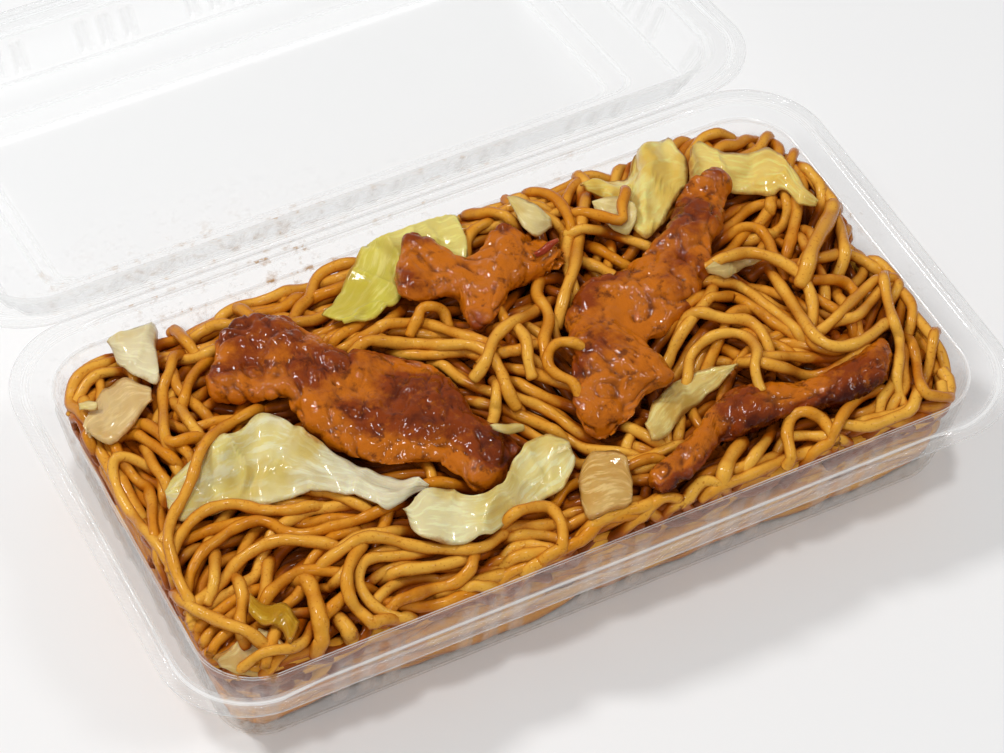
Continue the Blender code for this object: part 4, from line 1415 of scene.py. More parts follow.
@dataclass
class Chicken:
    """A piece of glazed chicken, laid over the noodles between two traced edges."""

    name: str
    rows: Rows
    thick: tuple[float, ...]
    seed: float
    finish: MeatFinish
    near_char_and_shade: float = 0.0
    far_char_and_shade: float = 0.0
    lobes: float = 0.9
    step: float = 2.5
    around: int = 84

    def build(self, ground: Ground) -> bpy.types.Object:
        """Make the piece on what already lies in the tray.

        Args:
            ground: the height map of what lies there, which the piece then raises.

        Returns:
            The piece.
        """
        far, near, share = trace_rows(self.rows, self.step)
        soft = ground.soft_top(3, 6)
        ends = np.clip(np.minimum(share, 1 - share) / 0.10, 0, 1)
        taper = np.sqrt(1 - (1 - ends) ** 2)
        thick = np.interp(share, np.linspace(0, 1, len(self.thick)), self.thick) * (0.25 + 0.75 * taper)
        floor_z = np.full(len(share), 29.0)
        for _ in range(5):
            far_xy = VIEW.place(far, floor_z + 0.66 * thick)
            near_xy = VIEW.place(near, floor_z + 0.24 * thick)
            inner = [ground.read(soft, near_xy + (far_xy - near_xy) * t) for t in (0.25, 0.5, 0.75)]
            floor_z = running_mean(np.mean(inner, axis=0), 5)
        turn = np.arange(self.around) / self.around * 2 * np.pi
        wide = np.sign(np.cos(turn)) * np.abs(np.cos(turn)) ** 0.88
        tall = np.sign(np.sin(turn)) * np.abs(np.sin(turn)) ** 1.05
        across = 0.5 + 0.5 * wide
        flat = near_xy[:, None] + (far_xy - near_xy)[:, None] * across[None, :, None]
        bottom = ground.read(soft, flat.reshape(-1, 2)).reshape(flat.shape[:2])
        bottom = np.minimum(bottom, floor_z[:, None] + 1.0) - 0.35
        crest = floor_z[:, None] + thick[:, None]
        height = bottom + (crest - bottom) * (tall[None] * 0.5 + 0.5)
        points = np.dstack([flat, height]).reshape(-1, 3)
        columns = self.around
        tris = to_triangles(grid_faces(len(share), columns, closed=True))
        base, k = len(points), np.arange(columns)
        tail = (len(share) - 1) * columns
        points = np.vstack([points, points[:columns].mean(axis=0), points[tail:].mean(axis=0)])
        fans = np.vstack([
            np.column_stack([np.full(columns, base), (k + 1) % columns, k]),
            np.column_stack([np.full(columns, base + 1), tail + k, tail + (k + 1) % columns]),
        ])
        faces = np.vstack([tris, fans])
        if self.is_inside_out(points, faces):
            faces = faces[:, ::-1]
        return self.rough(points, faces, np.concatenate([np.tile(across, len(share)), [0.5, 0.5]]), ground)

    def is_inside_out(self, points: np.ndarray, faces: np.ndarray) -> bool:
        """Whether the faces look inwards."""
        a, b, c = (points[faces[:, k]] - points.mean(axis=0) for k in range(3))
        return bool((np.cross(a, b) * c).sum() < 0)

    def rough(self, points: np.ndarray, faces: np.ndarray, across: np.ndarray, ground: Ground) -> bpy.types.Object:
        """Give the smooth body its lobes, folds, torn fibres and scorched places, with painted shade in its creases and
        on its darker side.

        Args:
            points: the body's points.
            faces: its triangles.
            across: each point's share of the way from the near edge to the far one.
            ground: the height map, which the finished piece raises.

        Returns:
            The piece.
        """
        normal = normals_of(points, faces)
        lobe = grain_of(points, (0.09, 0.09, 0.10), self.seed)
        fold = grain_of(points, (0.26, 0.26, 0.22), self.seed + 31)
        crease = 1 - np.minimum(np.abs(grain_of(points, (0.17, 0.17, 0.15), self.seed + 57)) * 5, 1)
        fibre = grain_of(points, (0.9, 0.9, 0.5), self.seed + 83)
        pleat = 1 - np.minimum(np.abs(grain_of(points, (0.34, 0.26, 0.26), self.seed + 71)) * 4, 1)
        rise = self.lobes * (1.7 * lobe + 0.6 * fold) - 0.8 * self.lobes * crease ** 2 + 0.10 * fibre - 0.30 * pleat
        points = points + normal * rise[:, None]
        roof = PLAN.lid_ceiling(points[:, 0], points[:, 1]) - 0.6
        points[:, 2] = np.minimum(points[:, 2], roof)
        # Near and far sides are darkened or lightened as a whole: partly crust, partly painted shade of the side away
        # from the light.
        near_share = np.clip((0.34 - across) / 0.30, 0, 1)
        far_share = np.clip((across - 0.62) / 0.35, 0, 1)
        char_and_side_shade = 0.55 * (lobe + 0.3) + self.near_char_and_shade * near_share + self.far_char_and_shade * far_share
        # Painted shade: creases, pleats and the undersides of folds get a share that darkens them.
        hollow = crease ** 2 * 0.7 + pleat * 0.35 + np.clip(-fold, 0, 1) * 0.4
        values = {"char_and_side_shade": char_and_side_shade, "hollow": hollow, "across": across}
        obj = make_object(self.name + "_glazed", points, faces, values)
        ground.add_points(points[normal[:, 2] > 0.15])
        return settle(obj, Body.BASE, "chicken", [self.name], self.finish.make())


@dataclass
class Leaf:
    """A wilted leaf or a slice of one: a thin wavy sheet between two traced edges."""

    name: str
    rows: Rows
    finish: LeafFinish
    seed: float
    nodes: tuple[str, ...] | None = None
    slot: str = "cabbage"
    lift: tuple[float, float] = (1.2, 0.6)
    arch: float = 0.6
    crumple: float = 0.55
    thick: float = 0.5
    pale: tuple[float, ...] = (0.5, 0.5)
    pale_across: float = 0.0
    ragged: float = 2.5
    follow: float = 0.75
    wall_clear: float = 1.6
    level: tuple[float, float] | None = None
    tallest: float = 38.0
    lowest: float = 24.5
    step: float = 3.0
    columns_step: float = 3.2

    def part(self, ground: Ground) -> Part:
        """Make the sheet on what already lies in the tray.

        Args:
            ground: the height map of what lies there, which the sheet then raises.

        Returns:
            The sheet as points, faces and named numbers.
        """
        far, near, share = trace_rows(self.rows, self.step)
        wander = np.column_stack([share * len(share) * self.step / 32, np.zeros(len(share)), np.zeros(len(share))])
        for size, seed in ((1.0, 0), (0.35, 50)):
            torn = wander / size
            far = far + size * self.ragged * grain_of(torn, (1, 1, 1), self.seed + seed)[:, None] * (0.5, 1.0)
            near = near + size * self.ragged * grain_of(torn, (1, 1, 1), self.seed + seed + 9)[:, None] * (0.5, 1.0)
        width = np.median(np.linalg.norm(far - near, axis=1))
        columns = max(6, round(width / self.columns_step))
        t = np.linspace(0, 1, columns)
        soft = ground.soft_top(2, 4)
        broad = ground.soft_top(4, 9)
        bed = self.follow * soft + (1 - self.follow) * broad
        far_z = np.full(len(share), 31.0)
        near_z = far_z.copy()
        for _ in range(5):
            far_xy, near_xy = VIEW.place(far, far_z), VIEW.place(near, near_z)
            far_z = running_mean(ground.read(bed, far_xy), 3) + self.lift[0]
            near_z = running_mean(ground.read(bed, near_xy), 3) + self.lift[1]
        if self.level:
            far_z, near_z = far_z * 0 + self.level[0], near_z * 0 + self.level[1]
        far_z, far_xy = self.stand(far, far_z)
        near_z, near_xy = self.stand(near, near_z)
        flat = near_xy[:, None] + (far_xy - near_xy)[:, None] * t[None, :, None]
        rest = ground.read(bed, flat.reshape(-1, 2)).reshape(flat.shape[:2])
        rest = running_mean(running_mean(rest, 2, 0), min(2, columns // 3), 1)
        straight = near_z[:, None] + (far_z - near_z)[:, None] * t[None] ** 1.5
        lift = self.lift[1] + (self.lift[0] - self.lift[1]) * t[None]
        height = straight if self.level else np.maximum(rest + lift, straight)
        height = height + self.arch * 4 * (t * (1 - t))[None]
        points = np.dstack([flat, height]).reshape(-1, 3)
        wave = grain_of(points, (0.10, 0.10, 0.0), self.seed + 3) * 1.6
        ripple = grain_of(points, (0.34, 0.34, 0.0), self.seed + 17) * 0.32
        ridge = 1 - np.minimum(np.abs(grain_of(points, (0.11, 0.08, 0.0), self.seed + 23)) * 4.5, 1)
        points[:, 2] += self.crumple * (wave + ripple + 1.3 * ridge ** 1.5)
        points[:, :2] += self.crumple * 0.8 * np.column_stack([
            grain_of(points, (0.25, 0.25, 0.0), self.seed + 41), grain_of(points, (0.25, 0.25, 0.0), self.seed + 61)])
        points[:, 2] = np.minimum(points[:, 2], PLAN.lid_ceiling(points[:, 0], points[:, 1]) - self.thick - 0.4)
        s_all = np.repeat(share, columns)
        t_all = np.tile(t, len(share))
        edge = 1 - np.clip(np.minimum(np.minimum(s_all, 1 - s_all) * len(share) * self.step / width,
                                      np.minimum(t_all, 1 - t_all)) / 0.16, 0, 1)
        pale = np.interp(s_all, np.linspace(0, 1, len(self.pale)), self.pale) + self.pale_across * (t_all - 0.5)
        lean = np.abs(t_all - 0.5)
        side_veins = np.abs(np.sin(s_all * len(share) * self.step / 16 + lean * 5 + self.seed)) ** 14
        main_vein = np.exp(-(lean / 0.05) ** 2)
        values = {
            "pale": pale, "edge": edge, "vein": np.clip(side_veins * 0.6 + main_vein, 0, 1),
            "run": s_all * len(share) * self.step / 4.4 + self.seed, "side": t_all * width / 4.4,
        }
        tris = to_triangles(grid_faces(len(share), columns))
        if np.cross(points[tris[:, 1]] - points[tris[:, 0]], points[tris[:, 2]] - points[tris[:, 0]])[:, 2].mean() < 0:
            tris = tris[:, ::-1]
        ground.add_points(points)
        return Part(points, tris, values)

    def stand(self, pixels: np.ndarray, height: np.ndarray) -> tuple[np.ndarray, np.ndarray]:
        """Raise an edge that would lie beyond the tray's wall until it is inside.

        Args:
            pixels: the edge in the photograph.
            height: its height on what carries it.

        Returns:
            The edge's heights and places.
        """
        height = height.copy()
        for _ in range(24):
            flat = VIEW.place(pixels, height)
            outside = PLAN.wall_distance(flat[:, 0], flat[:, 1]) < self.wall_clear
            behind = flat[:, 1] > 0
            height = np.where(outside & behind & (height < self.tallest), height + 0.6, height)
            height = np.where(outside & ~behind & (height > self.lowest), height - 0.4, height)
        height = running_mean(height, 2)
        flat = VIEW.place(pixels, height)
        short = np.maximum(self.wall_clear - PLAN.wall_distance(flat[:, 0], flat[:, 1]), 0)
        inward_y = np.abs(flat[:, 1]) > np.abs(flat[:, 0]) - 40
        flat[:, 1] -= np.sign(flat[:, 1]) * short * inward_y
        flat[:, 0] -= np.sign(flat[:, 0]) * short * ~inward_y
        return height, flat

    def dress(self, obj: bpy.types.Object) -> bpy.types.Object:
        """Give the sheet its thickness, finish and place."""
        skin = obj.modifiers.new("Thickness", "SOLIDIFY")
        skin.thickness = self.thick * MM
        skin.offset = -1.0
        nodes = [self.name] if self.nodes is None else list(self.nodes)
        return settle(obj, Body.BASE, self.slot, nodes, self.finish.make())

    def build(self, ground: Ground) -> bpy.types.Object:
        """Make the leaf as an object of its own."""
        part = self.part(ground)
        return self.dress(make_object(self.name + "_laid", part.points, part.faces, part.values))


FIRST_ROUTES: tuple[Route, ...] = (
    ((143, 464), (128, 457), (116, 458), (113, 470), (118, 490), (130, 512), (145, 530), (160, 548), (168, 562)),
    ((268, 565), (266, 585), (264, 600)),
    ((310, 490), (335, 495), (360, 505)),
    ((520, 535), (540, 535), (555, 538)),
    ((515, 548), (530, 545), (548, 548)),
    ((520, 556), (540, 552)),
    ((160, 358), (180, 356), (200, 350), (218, 345)),
    ((170, 362), (195, 358), (215, 350)),
    ((180, 408), (188, 420), (197, 432)),
    ((148, 452), (154, 466), (165, 480)),
    ((716, 278), (710, 295), (698, 312), (685, 328), (675, 345), (668, 362)),
    ((750, 335), (768, 342), (785, 350)),
    ((508, 368), (530, 372), (552, 380), (572, 386)),
    ((518, 383), (538, 394), (558, 402), (574, 408)),
    ((475, 402), (500, 408), (525, 418), (550, 428)),
    ((470, 215), (490, 212), (505, 215)),
    ((388, 512), (384, 525), (380, 535)),
    ((735, 470), (755, 462), (780, 455)),
    ((806, 332), (815, 345), (832, 350), (852, 347), (868, 338), (880, 328)),
    ((905, 350), (903, 365), (905, 385), (895, 400)),
)

MAIN_ROUTES: tuple[Route, ...] = (
    ((186, 592), (192, 570), (204, 550), (218, 540), (235, 528), (255, 521), (270, 523), (288, 533), (310, 533),
     (335, 526), (358, 520), (385, 508)),
    ((200, 600), (222, 582), (238, 562), (258, 548), (280, 540), (305, 541), (325, 543)),
    ((270, 592), (285, 580), (300, 572), (318, 570), (335, 572)),
    ((240, 585), (243, 600), (240, 618)),
    ((215, 560), (214, 580)),
    ((328, 612), (340, 600), (352, 590)),
    ((330, 588), (342, 575), (355, 562)),
    ((345, 545), (365, 535), (395, 532), (418, 532)),
    ((403, 570), (430, 567), (455, 562), (478, 555)),
    ((378, 598), (392, 586), (410, 580), (428, 578)),
    ((392, 603), (410, 606), (430, 606), (450, 602), (465, 598)),
    ((475, 585), (495, 588), (520, 588), (545, 578), (557, 565)),
    ((600, 520), (620, 512), (640, 508), (655, 500)),
    ((683, 508), (690, 495), (702, 482), (715, 482), (722, 492)),
    ((755, 455), (768, 438), (776, 418), (778, 402)),
    ((840, 424), (865, 426), (890, 420), (910, 410), (917, 395)),
    ((912, 343), (916, 360), (918, 375), (925, 392), (940, 397)),
    ((340, 335), (358, 325), (378, 310), (398, 303)),
    ((350, 345), (372, 332), (390, 320), (400, 312)),
    ((388, 323), (425, 324), (455, 333), (485, 342)),
    ((400, 355), (430, 355), (460, 352), (485, 358)),
    ((505, 352), (518, 350), (528, 345)),
    ((518, 328), (526, 340), (528, 358)),
    ((480, 380), (478, 370), (482, 360)),
    ((445, 366), (462, 380), (485, 390), (505, 394), (530, 402), (550, 412), (568, 425), (578, 432)),
    ((497, 388), (496, 400), (495, 412)),
    ((583, 262), (600, 268), (612, 275)),
    ((585, 245), (600, 250), (620, 262)),
    ((440, 207), (460, 200), (490, 197), (520, 197)),
    ((572, 225), (567, 245), (566, 262), (572, 280)),
    ((720, 232), (735, 222), (748, 210), (765, 204), (785, 204)),
    ((760, 222), (770, 210), (770, 203)),
    ((770, 265), (795, 265), (820, 258), (845, 254), (862, 260), (872, 266)),
    ((712, 296), (735, 298), (755, 308), (772, 322), (790, 332)),
    ((703, 312), (722, 318), (745, 320), (758, 328), (765, 338)),
    ((815, 280), (838, 280), (853, 290), (858, 302)),
    ((820, 300), (835, 310), (848, 318)),
    ((805, 258), (815, 245), (812, 235)),
    ((128, 432), (142, 424), (158, 432), (172, 442), (190, 438)),
    ((140, 436), (155, 446), (170, 456)),
    ((172, 372), (178, 388), (190, 400), (205, 414)),
    ((185, 395), (190, 380), (200, 368), (212, 360)),
    ((178, 333), (190, 345)),
    ((205, 330), (215, 325), (230, 325)),
    ((245, 312), (252, 318)),
)

UPPER_ROUTES: tuple[Route, ...] = (
    ((182, 600), (200, 612), (222, 622), (245, 630)),
    ((420, 553), (395, 556), (372, 558), (362, 565), (359, 580), (366, 597), (380, 610), (400, 618)),
    ((360, 548), (352, 560), (347, 575), (348, 592), (356, 608), (370, 620), (388, 628)),
    ((400, 600), (430, 590), (455, 583), (470, 570), (473, 560)),
    ((330, 558), (345, 548), (362, 538), (385, 538), (410, 545), (440, 549), (470, 549), (488, 545), (500, 536)),
    ((558, 560), (575, 547), (590, 532), (602, 520), (625, 515)),
    ((640, 520), (652, 505), (665, 497), (680, 500), (683, 508)),
    ((720, 492), (740, 480), (765, 468), (790, 458), (810, 452), (822, 450)),
    ((792, 436), (815, 436), (836, 438)),
    ((370, 340), (400, 343), (440, 345), (470, 345), (488, 353), (500, 370), (506, 385)),
    ((488, 355), (495, 338), (512, 322), (535, 312), (545, 305)),
    ((585, 200), (582, 220), (578, 245), (574, 268), (566, 290), (562, 305)),
    ((583, 228), (605, 232), (630, 240), (645, 245)),
    ((405, 210), (425, 205), (445, 203), (465, 197), (490, 193), (515, 192), (540, 192), (555, 198), (565, 210),
     (570, 222)),
    ((566, 200), (572, 188), (577, 184)),
    ((722, 240), (740, 228), (757, 228), (768, 240), (774, 255), (780, 262)),
    ((785, 195), (788, 210), (783, 225), (775, 232)),
    ((795, 190), (797, 210), (793, 230), (788, 250)),
    ((838, 222), (842, 235), (845, 250)),
    ((712, 280), (732, 284), (750, 293), (765, 305), (780, 316), (795, 328)),
    ((868, 290), (875, 280), (885, 278)),
    ((842, 320), (858, 315), (872, 300), (880, 290)),
    ((164, 430), (163, 408), (163, 388), (170, 370), (172, 360)),
    ((757, 357), (785, 356), (815, 358), (840, 358), (860, 352)),
    ((760, 362), (785, 368), (805, 376), (825, 374), (845, 362), (862, 350)),
)

OVER_ROUTES: tuple[Route, ...] = (
    ((172, 552), (180, 536), (195, 518), (212, 508), (235, 504), (262, 510), (290, 510), (308, 506)),
    ((248, 413), (228, 425), (208, 440), (198, 458), (192, 478), (183, 498), (172, 518), (168, 538), (172, 558),
     (178, 578), (186, 594)),
    ((520, 510), (535, 507), (550, 508), (560, 520), (563, 535), (560, 560)),
    ((418, 318), (422, 308), (433, 306), (443, 312), (447, 322)),
    ((553, 278), (540, 282), (537, 295), (546, 308), (549, 322), (544, 338), (545, 352)),
    ((572, 342), (558, 343), (549, 352), (548, 364), (556, 374), (570, 380)),
    ((585, 212), (605, 217), (622, 220), (622, 205), (625, 195)),
    ((872, 282), (862, 292), (848, 305), (835, 318), (822, 330)),
    ((722, 258), (745, 253), (765, 255), (785, 264), (800, 275), (810, 292), (813, 310), (812, 322)),
    ((768, 268), (780, 285), (792, 303), (803, 320), (815, 336), (832, 346), (852, 345), (870, 336), (882, 326)),
    ((884, 280), (887, 298), (892, 316), (898, 334), (900, 352), (897, 375)),
    ((688, 375), (690, 358), (700, 345), (715, 335), (733, 333), (748, 338), (757, 350), (755, 362)),
    ((790, 450), (787, 432), (792, 417), (805, 411), (820, 418), (830, 430), (836, 442)),
    ((828, 450), (835, 430), (845, 412), (860, 398), (878, 390)),
)

THICK_ROUTES: tuple[Route, ...] = (
    ((310, 585), (315, 600), (320, 620), (322, 638)),
    ((722, 485), (725, 470), (732, 455), (738, 448)),
    ((833, 205), (829, 218), (820, 234), (812, 250), (808, 264)),
    ((340, 620), (348, 630), (352, 640)),
)

CHICKEN_LEFT: Rows = (
    ((208, 368), (207, 380)), ((214, 343), (216, 400)), ((232, 322), (240, 406)), ((262, 312), (262, 409)),
    ((292, 316), (282, 407)), ((322, 330), (295, 420)), ((345, 348), (318, 442)), ((375, 348), (345, 460)),
    ((410, 354), (375, 473)), ((442, 365), (405, 472)), ((462, 390), (432, 470)), ((480, 412), (455, 481)),
    ((503, 427), (475, 492)), ((521, 443), (497, 482)), ((524, 452), (516, 462)),
)
CHICKEN_RIGHT: Rows = (
    ((706, 170), (720, 170)), ((695, 180), (728, 188)), ((680, 196), (726, 208)), ((672, 214), (720, 230)),
    ((660, 232), (708, 252)), ((640, 250), (708, 275)), ((615, 269), (697, 296)), ((590, 282), (680, 320)),
    ((572, 300), (665, 338)), ((566, 325), (650, 350)), ((571, 352), (668, 372)), ((573, 378), (672, 388)),
    ((573, 402), (648, 405)), ((580, 425), (632, 428)), ((595, 437), (612, 438)),
)
CHICKEN_BACK: Rows = (
    ((398, 262), (394, 280)), ((404, 240), (402, 300)), ((414, 233), (420, 305)), ((435, 242), (440, 302)),
    ((458, 254), (458, 300)), ((475, 250), (466, 322)), ((490, 232), (478, 333)), ((503, 224), (494, 325)),
    ((520, 232), (510, 300)), ((540, 238), (530, 284)), ((556, 243), (550, 275)), ((563, 250), (562, 262)),
)
CHICKEN_STRIP: Rows = (
    ((893, 352), (890, 382)), ((880, 338), (872, 392)), ((858, 354), (850, 402)), ((832, 370), (825, 412)),
    ((800, 379), (795, 420)), ((768, 381), (765, 428)), ((738, 388), (738, 440)), ((715, 402), (718, 455)),
    ((695, 425), (700, 475)), ((672, 452), (680, 490)), ((652, 465), (662, 496)), ((645, 478), (650, 488)),
)
CABBAGE_LEFT: Rows = (
    ((163, 492), (166, 508)), ((176, 472), (182, 521)), ((205, 448), (208, 514)), ((235, 430), (235, 508)),
    ((262, 415), (262, 506)), ((285, 419), (285, 500)), ((308, 437), (310, 493)), ((335, 453), (335, 492)),
    ((365, 470), (362, 499)), ((395, 478), (388, 509)), ((418, 480), (410, 503)), ((429, 484), (428, 492)),
)
CABBAGE_CENTRE: Rows = (
    ((403, 510), (408, 518)), ((414, 500), (418, 538)), ((432, 488), (442, 543)), ((455, 491), (468, 542)),
    ((478, 495), (490, 534)), ((500, 484), (512, 521)), ((513, 466), (535, 507)), ((526, 446), (556, 495)),
    ((545, 436), (568, 477)), ((566, 439), (576, 458)),
)
CABBAGE_BRIGHT: Rows = (
    ((322, 316), (345, 324)), ((335, 300), (375, 315)), ((350, 272), (398, 300)), ((364, 250), (405, 280)),
    ((372, 230), (415, 262)), ((392, 218), (430, 255)), ((420, 210), (445, 255)), ((445, 212), (462, 262)),
    ((458, 228), (468, 255)),
)
CABBAGE_BACK_LEFT: Rows = (
    ((107, 343), (112, 352)), ((115, 333), (120, 368)), ((135, 326), (138, 376)), ((150, 321), (155, 384)),
    ((158, 333), (158, 378)),
)
CABBAGE_WALL: Rows = (
    ((80, 425), (88, 436)), ((95, 402), (108, 443)), ((110, 385), (124, 436)), ((128, 378), (140, 416)),
    ((150, 388), (152, 402)),
)
CABBAGE_TOP: Rows = (
    ((580, 188), (585, 193)), ((600, 180), (605, 200)), ((625, 181), (630, 225)), ((640, 140), (645, 238)),
    ((655, 135), (660, 225)), ((672, 146), (675, 200)), ((687, 163), (688, 185)),
)
CABBAGE_CORNER: Rows = (
    ((688, 165), (690, 185)), ((697, 142), (705, 190)), ((720, 150), (728, 197)), ((745, 153), (748, 195)),
    ((768, 147), (772, 193)), ((785, 162), (785, 190)), ((800, 182), (800, 208)), ((818, 203), (815, 211)),
)
CABBAGE_TAN: Rows = (
    ((578, 478), (580, 500)), ((586, 460), (588, 520)), ((605, 453), (605, 513)), ((622, 453), (625, 508)),
    ((632, 475), (633, 502)),
)
CABBAGE_SMALL: Rows = (
    ((645, 425), (652, 442)), ((655, 402), (668, 436)), ((675, 384), (682, 414)), ((700, 372), (704, 400)),
    ((720, 366), (722, 384)), ((738, 364), (735, 370)),
)
CABBAGE_OLIVE: Rows = (
    ((250, 592), (250, 612)), ((265, 603), (262, 624)), ((285, 603), (280, 628)), ((300, 622), (292, 650)),
)
CABBAGE_STEM: Rows = (
    ((216, 662), (220, 668)), ((232, 648), (238, 674)), ((255, 628), (258, 675)), ((277, 640), (275, 670)),
    ((287, 655), (286, 662)),
)
ONION_SLICE: Rows = (
    ((706, 268), (708, 274)), ((725, 256), (730, 276)), ((748, 254), (752, 268)), ((762, 254), (765, 262)),
)
GINGER_SHRED: Rows = (((533, 254), (536, 259)), ((545, 246), (549, 252)), ((557, 238), (560, 243)))

BIT_ROWS: tuple[Rows, ...] = (
    (((507, 198), (509, 204)), ((520, 198), (522, 226)), ((535, 204), (537, 236)), ((550, 216), (551, 226))),
    (((592, 200), (594, 210)), ((605, 197), (608, 226)), ((622, 198), (625, 234)), ((634, 206), (636, 222))),
    (((490, 425), (492, 429)), ((505, 423), (508, 434)), ((523, 427), (524, 433))),
    (((78, 404), (80, 411)), ((87, 400), (89, 412)), ((97, 401), (98, 409))),
)


@dataclass
class Toppings:
    """The chicken, cabbage, onion and ginger that lie on the noodles."""

    ground: Ground

    def lower_noodles(self) -> None:
        """Keep the filling low where the toppings will lie."""
        heavy = (CHICKEN_LEFT, CHICKEN_RIGHT, CHICKEN_BACK, CHICKEN_STRIP)
        light = (CABBAGE_LEFT, CABBAGE_CENTRE, CABBAGE_BRIGHT, CABBAGE_BACK_LEFT, CABBAGE_WALL, CABBAGE_TOP,
                 CABBAGE_CORNER, CABBAGE_TAN, CABBAGE_SMALL, CABBAGE_OLIVE)
        for rows, drop in [(CABBAGE_STEM, 4.5)] + [(r, 2.6) for r in heavy] + [(r, 1.7) for r in light]:
            pairs = np.array(rows, float)
            ring = np.vstack([pairs[:, 0], pairs[::-1, 1]])
            self.ground.lower_target(VIEW.place(ring, np.full(len(ring), 30.0)), drop)

    def lay(self) -> None:
        """Lay every piece, from the lowest to the highest."""
        ground = self.ground
        Leaf("cabbage_wall", CABBAGE_WALL, LeafFinish("cabbage_wall", (0.74, 0.46, 0.17), (0.8, 0.56, 0.26), stain_share=0.35), 2.0,
             pale=(0.5, 0.3), arch=0.3).build(ground)
        Leaf("cabbage_back_left", CABBAGE_BACK_LEFT, LeafFinish("cabbage_back_left", (0.82, 0.66, 0.36), (0.84, 0.7, 0.42), stain_share=0.2), 4.0,
             pale=(0.7, 0.9)).build(ground)
        Leaf("cabbage_top", CABBAGE_TOP, LeafFinish("cabbage_top", (0.95, 0.61, 0.10), (0.95, 0.72, 0.24), stain_share=0.45), 6.0, pale=(0.1, 0.7), lift=(2.0, 0.8),
             crumple=0.75).build(ground)
        Leaf("cabbage_corner", CABBAGE_CORNER, LeafFinish("cabbage_corner", (0.92, 0.56, 0.10), (0.95, 0.68, 0.20), stain_share=0.55), 8.0, pale=(0.6, 0.4, 0.5),
             lift=(1.6, 0.8), crumple=0.75).build(ground)
        Leaf("cabbage_olive", CABBAGE_OLIVE, LeafFinish("cabbage_olive", (0.54, 0.27, 0.004), (0.66, 0.40, 0.03), stain_share=0.45), 10.0,
             pale=(0.2, 0.2)).build(ground)
        Leaf("cabbage_stem", CABBAGE_STEM, LeafFinish("cabbage_stem", (0.8, 0.5, 0.13), (0.84, 0.62, 0.27), stain_share=0.3), 12.0, pale=(0.3, 1.0), thick=1.1,
             arch=0.5, wall_clear=0.8, ragged=1.2, level=(29.0, 25.2), crumple=0.3).build(ground)
        Leaf("cabbage_tan", CABBAGE_TAN, LeafFinish("cabbage_tan", (0.60, 0.30, 0.05), (0.78, 0.52, 0.2), stain_share=0.5), 14.0, pale=(0.4, 0.4)).build(ground)
        Leaf("cabbage_small", CABBAGE_SMALL, LeafFinish("cabbage_small", (0.74, 0.47, 0.11), (0.86, 0.68, 0.27), stain_share=0.5), 16.0,
             pale=(0.3, 0.5)).build(ground)
        Leaf("cabbage_bright", CABBAGE_BRIGHT, LeafFinish("cabbage_bright", (0.72, 0.60, 0.075), (0.86, 0.68, 0.20), stain_share=0.25), 18.0,
             pale=(0.0, 0.1, 0.35, 0.8, 0.9), lift=(1.6, 0.8), crumple=0.8).build(ground)
        Chicken("chicken_strip", CHICKEN_STRIP, (4.5, 6.0, 5.5, 5.0, 5.0), 3.0,
                MeatFinish("chicken_strip", crust_share=0.30), near_char_and_shade=0.75, lobes=0.6).build(ground)
        Chicken("chicken_back", CHICKEN_BACK, (4.5, 6.0, 5.5, 6.5, 5.0), 5.0,
                MeatFinish("chicken_back", crust_share=0.25), lobes=0.9).build(ground)
        Chicken("chicken_right", CHICKEN_RIGHT, (4.5, 6.5, 8.0, 8.0, 5.5), 7.0,
                MeatFinish("chicken_right", crust_share=0.34), near_char_and_shade=-0.2, far_char_and_shade=0.2, lobes=1.1).build(ground)
        Chicken("chicken_left", CHICKEN_LEFT, (6.5, 7.5, 7.5, 7.0, 5.0), 9.0,
                MeatFinish("chicken_left", crust_share=0.80), near_char_and_shade=-0.75, lobes=1.15).build(ground)
        Leaf("cabbage_left", CABBAGE_LEFT, LeafFinish("cabbage_left", (0.86, 0.68, 0.22), (0.86, 0.74, 0.48), stain_share=0.15), 20.0,
             pale=(0.1, 0.15, 0.4, 1.0, 1.0), lift=(1.4, 0.6), crumple=0.8).build(ground)
        Leaf("cabbage_centre", CABBAGE_CENTRE, LeafFinish("cabbage_centre", (0.90, 0.70, 0.24), (0.88, 0.74, 0.40), stain_share=0.22), 22.0,
             pale=(0.9, 0.9, 0.3, 0.3, 0.6), lift=(1.6, 0.8), crumple=0.7).build(ground)
        Leaf("onion_slice", ONION_SLICE, LeafFinish("onion_slice", (0.62, 0.40, 0.12), (0.75, 0.55, 0.22)), 24.0,
             slot="onion", thick=0.6).build(ground)
        Leaf("ginger_shred", GINGER_SHRED, LeafFinish("ginger_shred", (0.30, 0.025, 0.008), (0.40, 0.06, 0.01)),
             26.0, slot="ginger", thick=0.9, ragged=0.5).build(ground)
        pale = LeafFinish("cabbage_bits", (0.78, 0.58, 0.18), (0.82, 0.64, 0.3), stain_share=0.3)
        pieces = [Leaf("cabbage_bits", rows, pale, 30.0 + 2 * k) for k, rows in enumerate(BIT_ROWS)]
        whole = join(piece.part(ground) for piece in pieces)
        scraps = Leaf("cabbage_bits", BIT_ROWS[0], pale, 30.0, nodes=())
        scraps.dress(make_object("cabbage_bits", whole.points, whole.faces, whole.values))


@dataclass(frozen=True)
class Softbox:
    """A soft round light over the table."""

    name: str
    spot: tuple[float, float, float]
    size: float
    power: float

    def build(self) -> None:
        """Hang the light, facing the pack."""
        lamp = bpy.data.lights.new(self.name, "AREA")
        lamp.shape = "DISK"
        lamp.size = self.size
        lamp.energy = self.power
        obj = bpy.data.objects.new(self.name, lamp)
        obj.location = self.spot
        obj.rotation_euler = (-Vector(self.spot)).to_track_quat("-Z", "Y").to_euler()
        bpy.context.scene.collection.objects.link(obj)


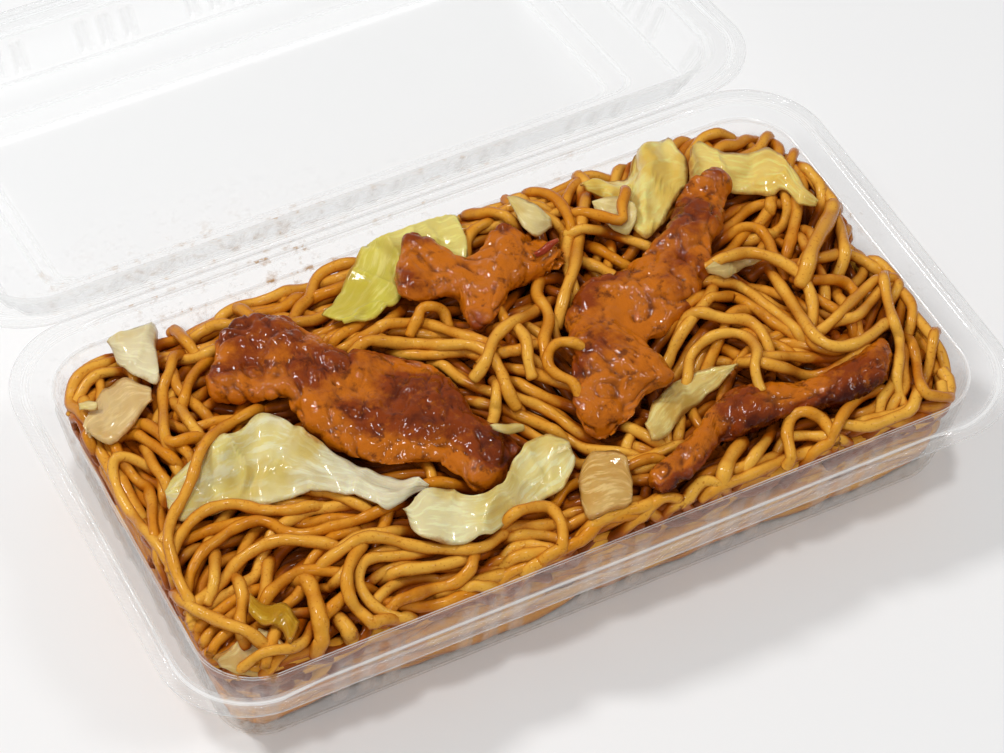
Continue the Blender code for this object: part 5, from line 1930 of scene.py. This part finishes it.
@dataclass
class Studio:
    """A plain pale table, an even white room and two softboxes."""

    table_half: float = 3.0
    table_drop: float = 0.2
    table_colour: Colour = (0.86, 0.86, 0.86)
    room: float = 0.34
    lights: tuple[Softbox, ...] = (
        Softbox("key", (-0.50, 0.72, 1.00), 0.20, 6.6),
        Softbox("top", (-0.05, 0.05, 1.30), 0.15, 4.0),
        Softbox("left", (-0.80, -0.62, 1.05), 0.20, 3.2),
        Softbox("right", (0.78, -0.50, 1.05), 0.26, 2.2),
    )

    def build(self) -> None:
        """Add the table, the room's light and the softboxes."""
        half = self.table_half
        drop = -self.table_drop * MM
        mesh = bpy.data.meshes.new("table")
        mesh.from_pydata([(-half, -half, drop), (half, -half, drop), (half, half, drop), (-half, half, drop)], [],
                         [(0, 1, 2, 3)])
        table = bpy.data.objects.new("table", mesh)
        bpy.context.scene.collection.objects.link(table)
        sheet = NodeSheet("table_finish")
        tint = sheet.blend(sheet.noise(6, 2.0), self.table_colour, tuple(c * 0.985 for c in self.table_colour))
        shader = sheet.add("ShaderNodeBsdfPrincipled", Base__Color=tint, Roughness=0.7, Specular__IOR__Level=0.1)
        mesh.materials.append(sheet.finish(shader.outputs["BSDF"]))
        world = bpy.data.worlds.new("studio")
        world.use_nodes = True
        back = world.node_tree.nodes["Background"]
        back.inputs["Color"].default_value = (1.0, 1.0, 1.0, 1.0)
        back.inputs["Strength"].default_value = self.room
        bpy.context.scene.world = world
        for light in self.lights:
            light.build()
        bpy.context.scene.view_settings.view_transform = "Standard"


def main() -> None:
    """Build every sub-assembly in order."""
    logging.basicConfig(level=logging.INFO, format="%(message)s")
    VIEW.make_camera()
    Studio().build()
    for shell in (Tray(), Lid(), HingeWeb()):
        shell.dress(shell.build())
    ground = Ground()
    toppings = Toppings(ground)
    toppings.lower_noodles()
    noodles = NoodleHeap(ground)
    noodles.learn_way(FIRST_ROUTES + MAIN_ROUTES + UPPER_ROUTES + OVER_ROUTES)
    noodles.line_walls()
    noodles.fill(noodles.length_budget, 0.4)
    noodles.add_traced(FIRST_ROUTES)
    noodles.add_traced(MAIN_ROUTES)
    noodles.add_traced(UPPER_ROUTES)
    toppings.lay()
    noodles.add_traced(OVER_ROUTES, lift=0.4)
    noodles.add_traced(THICK_ROUTES, radius=1.75)
    noodles.dress()


if __name__ == "__main__":
    main()
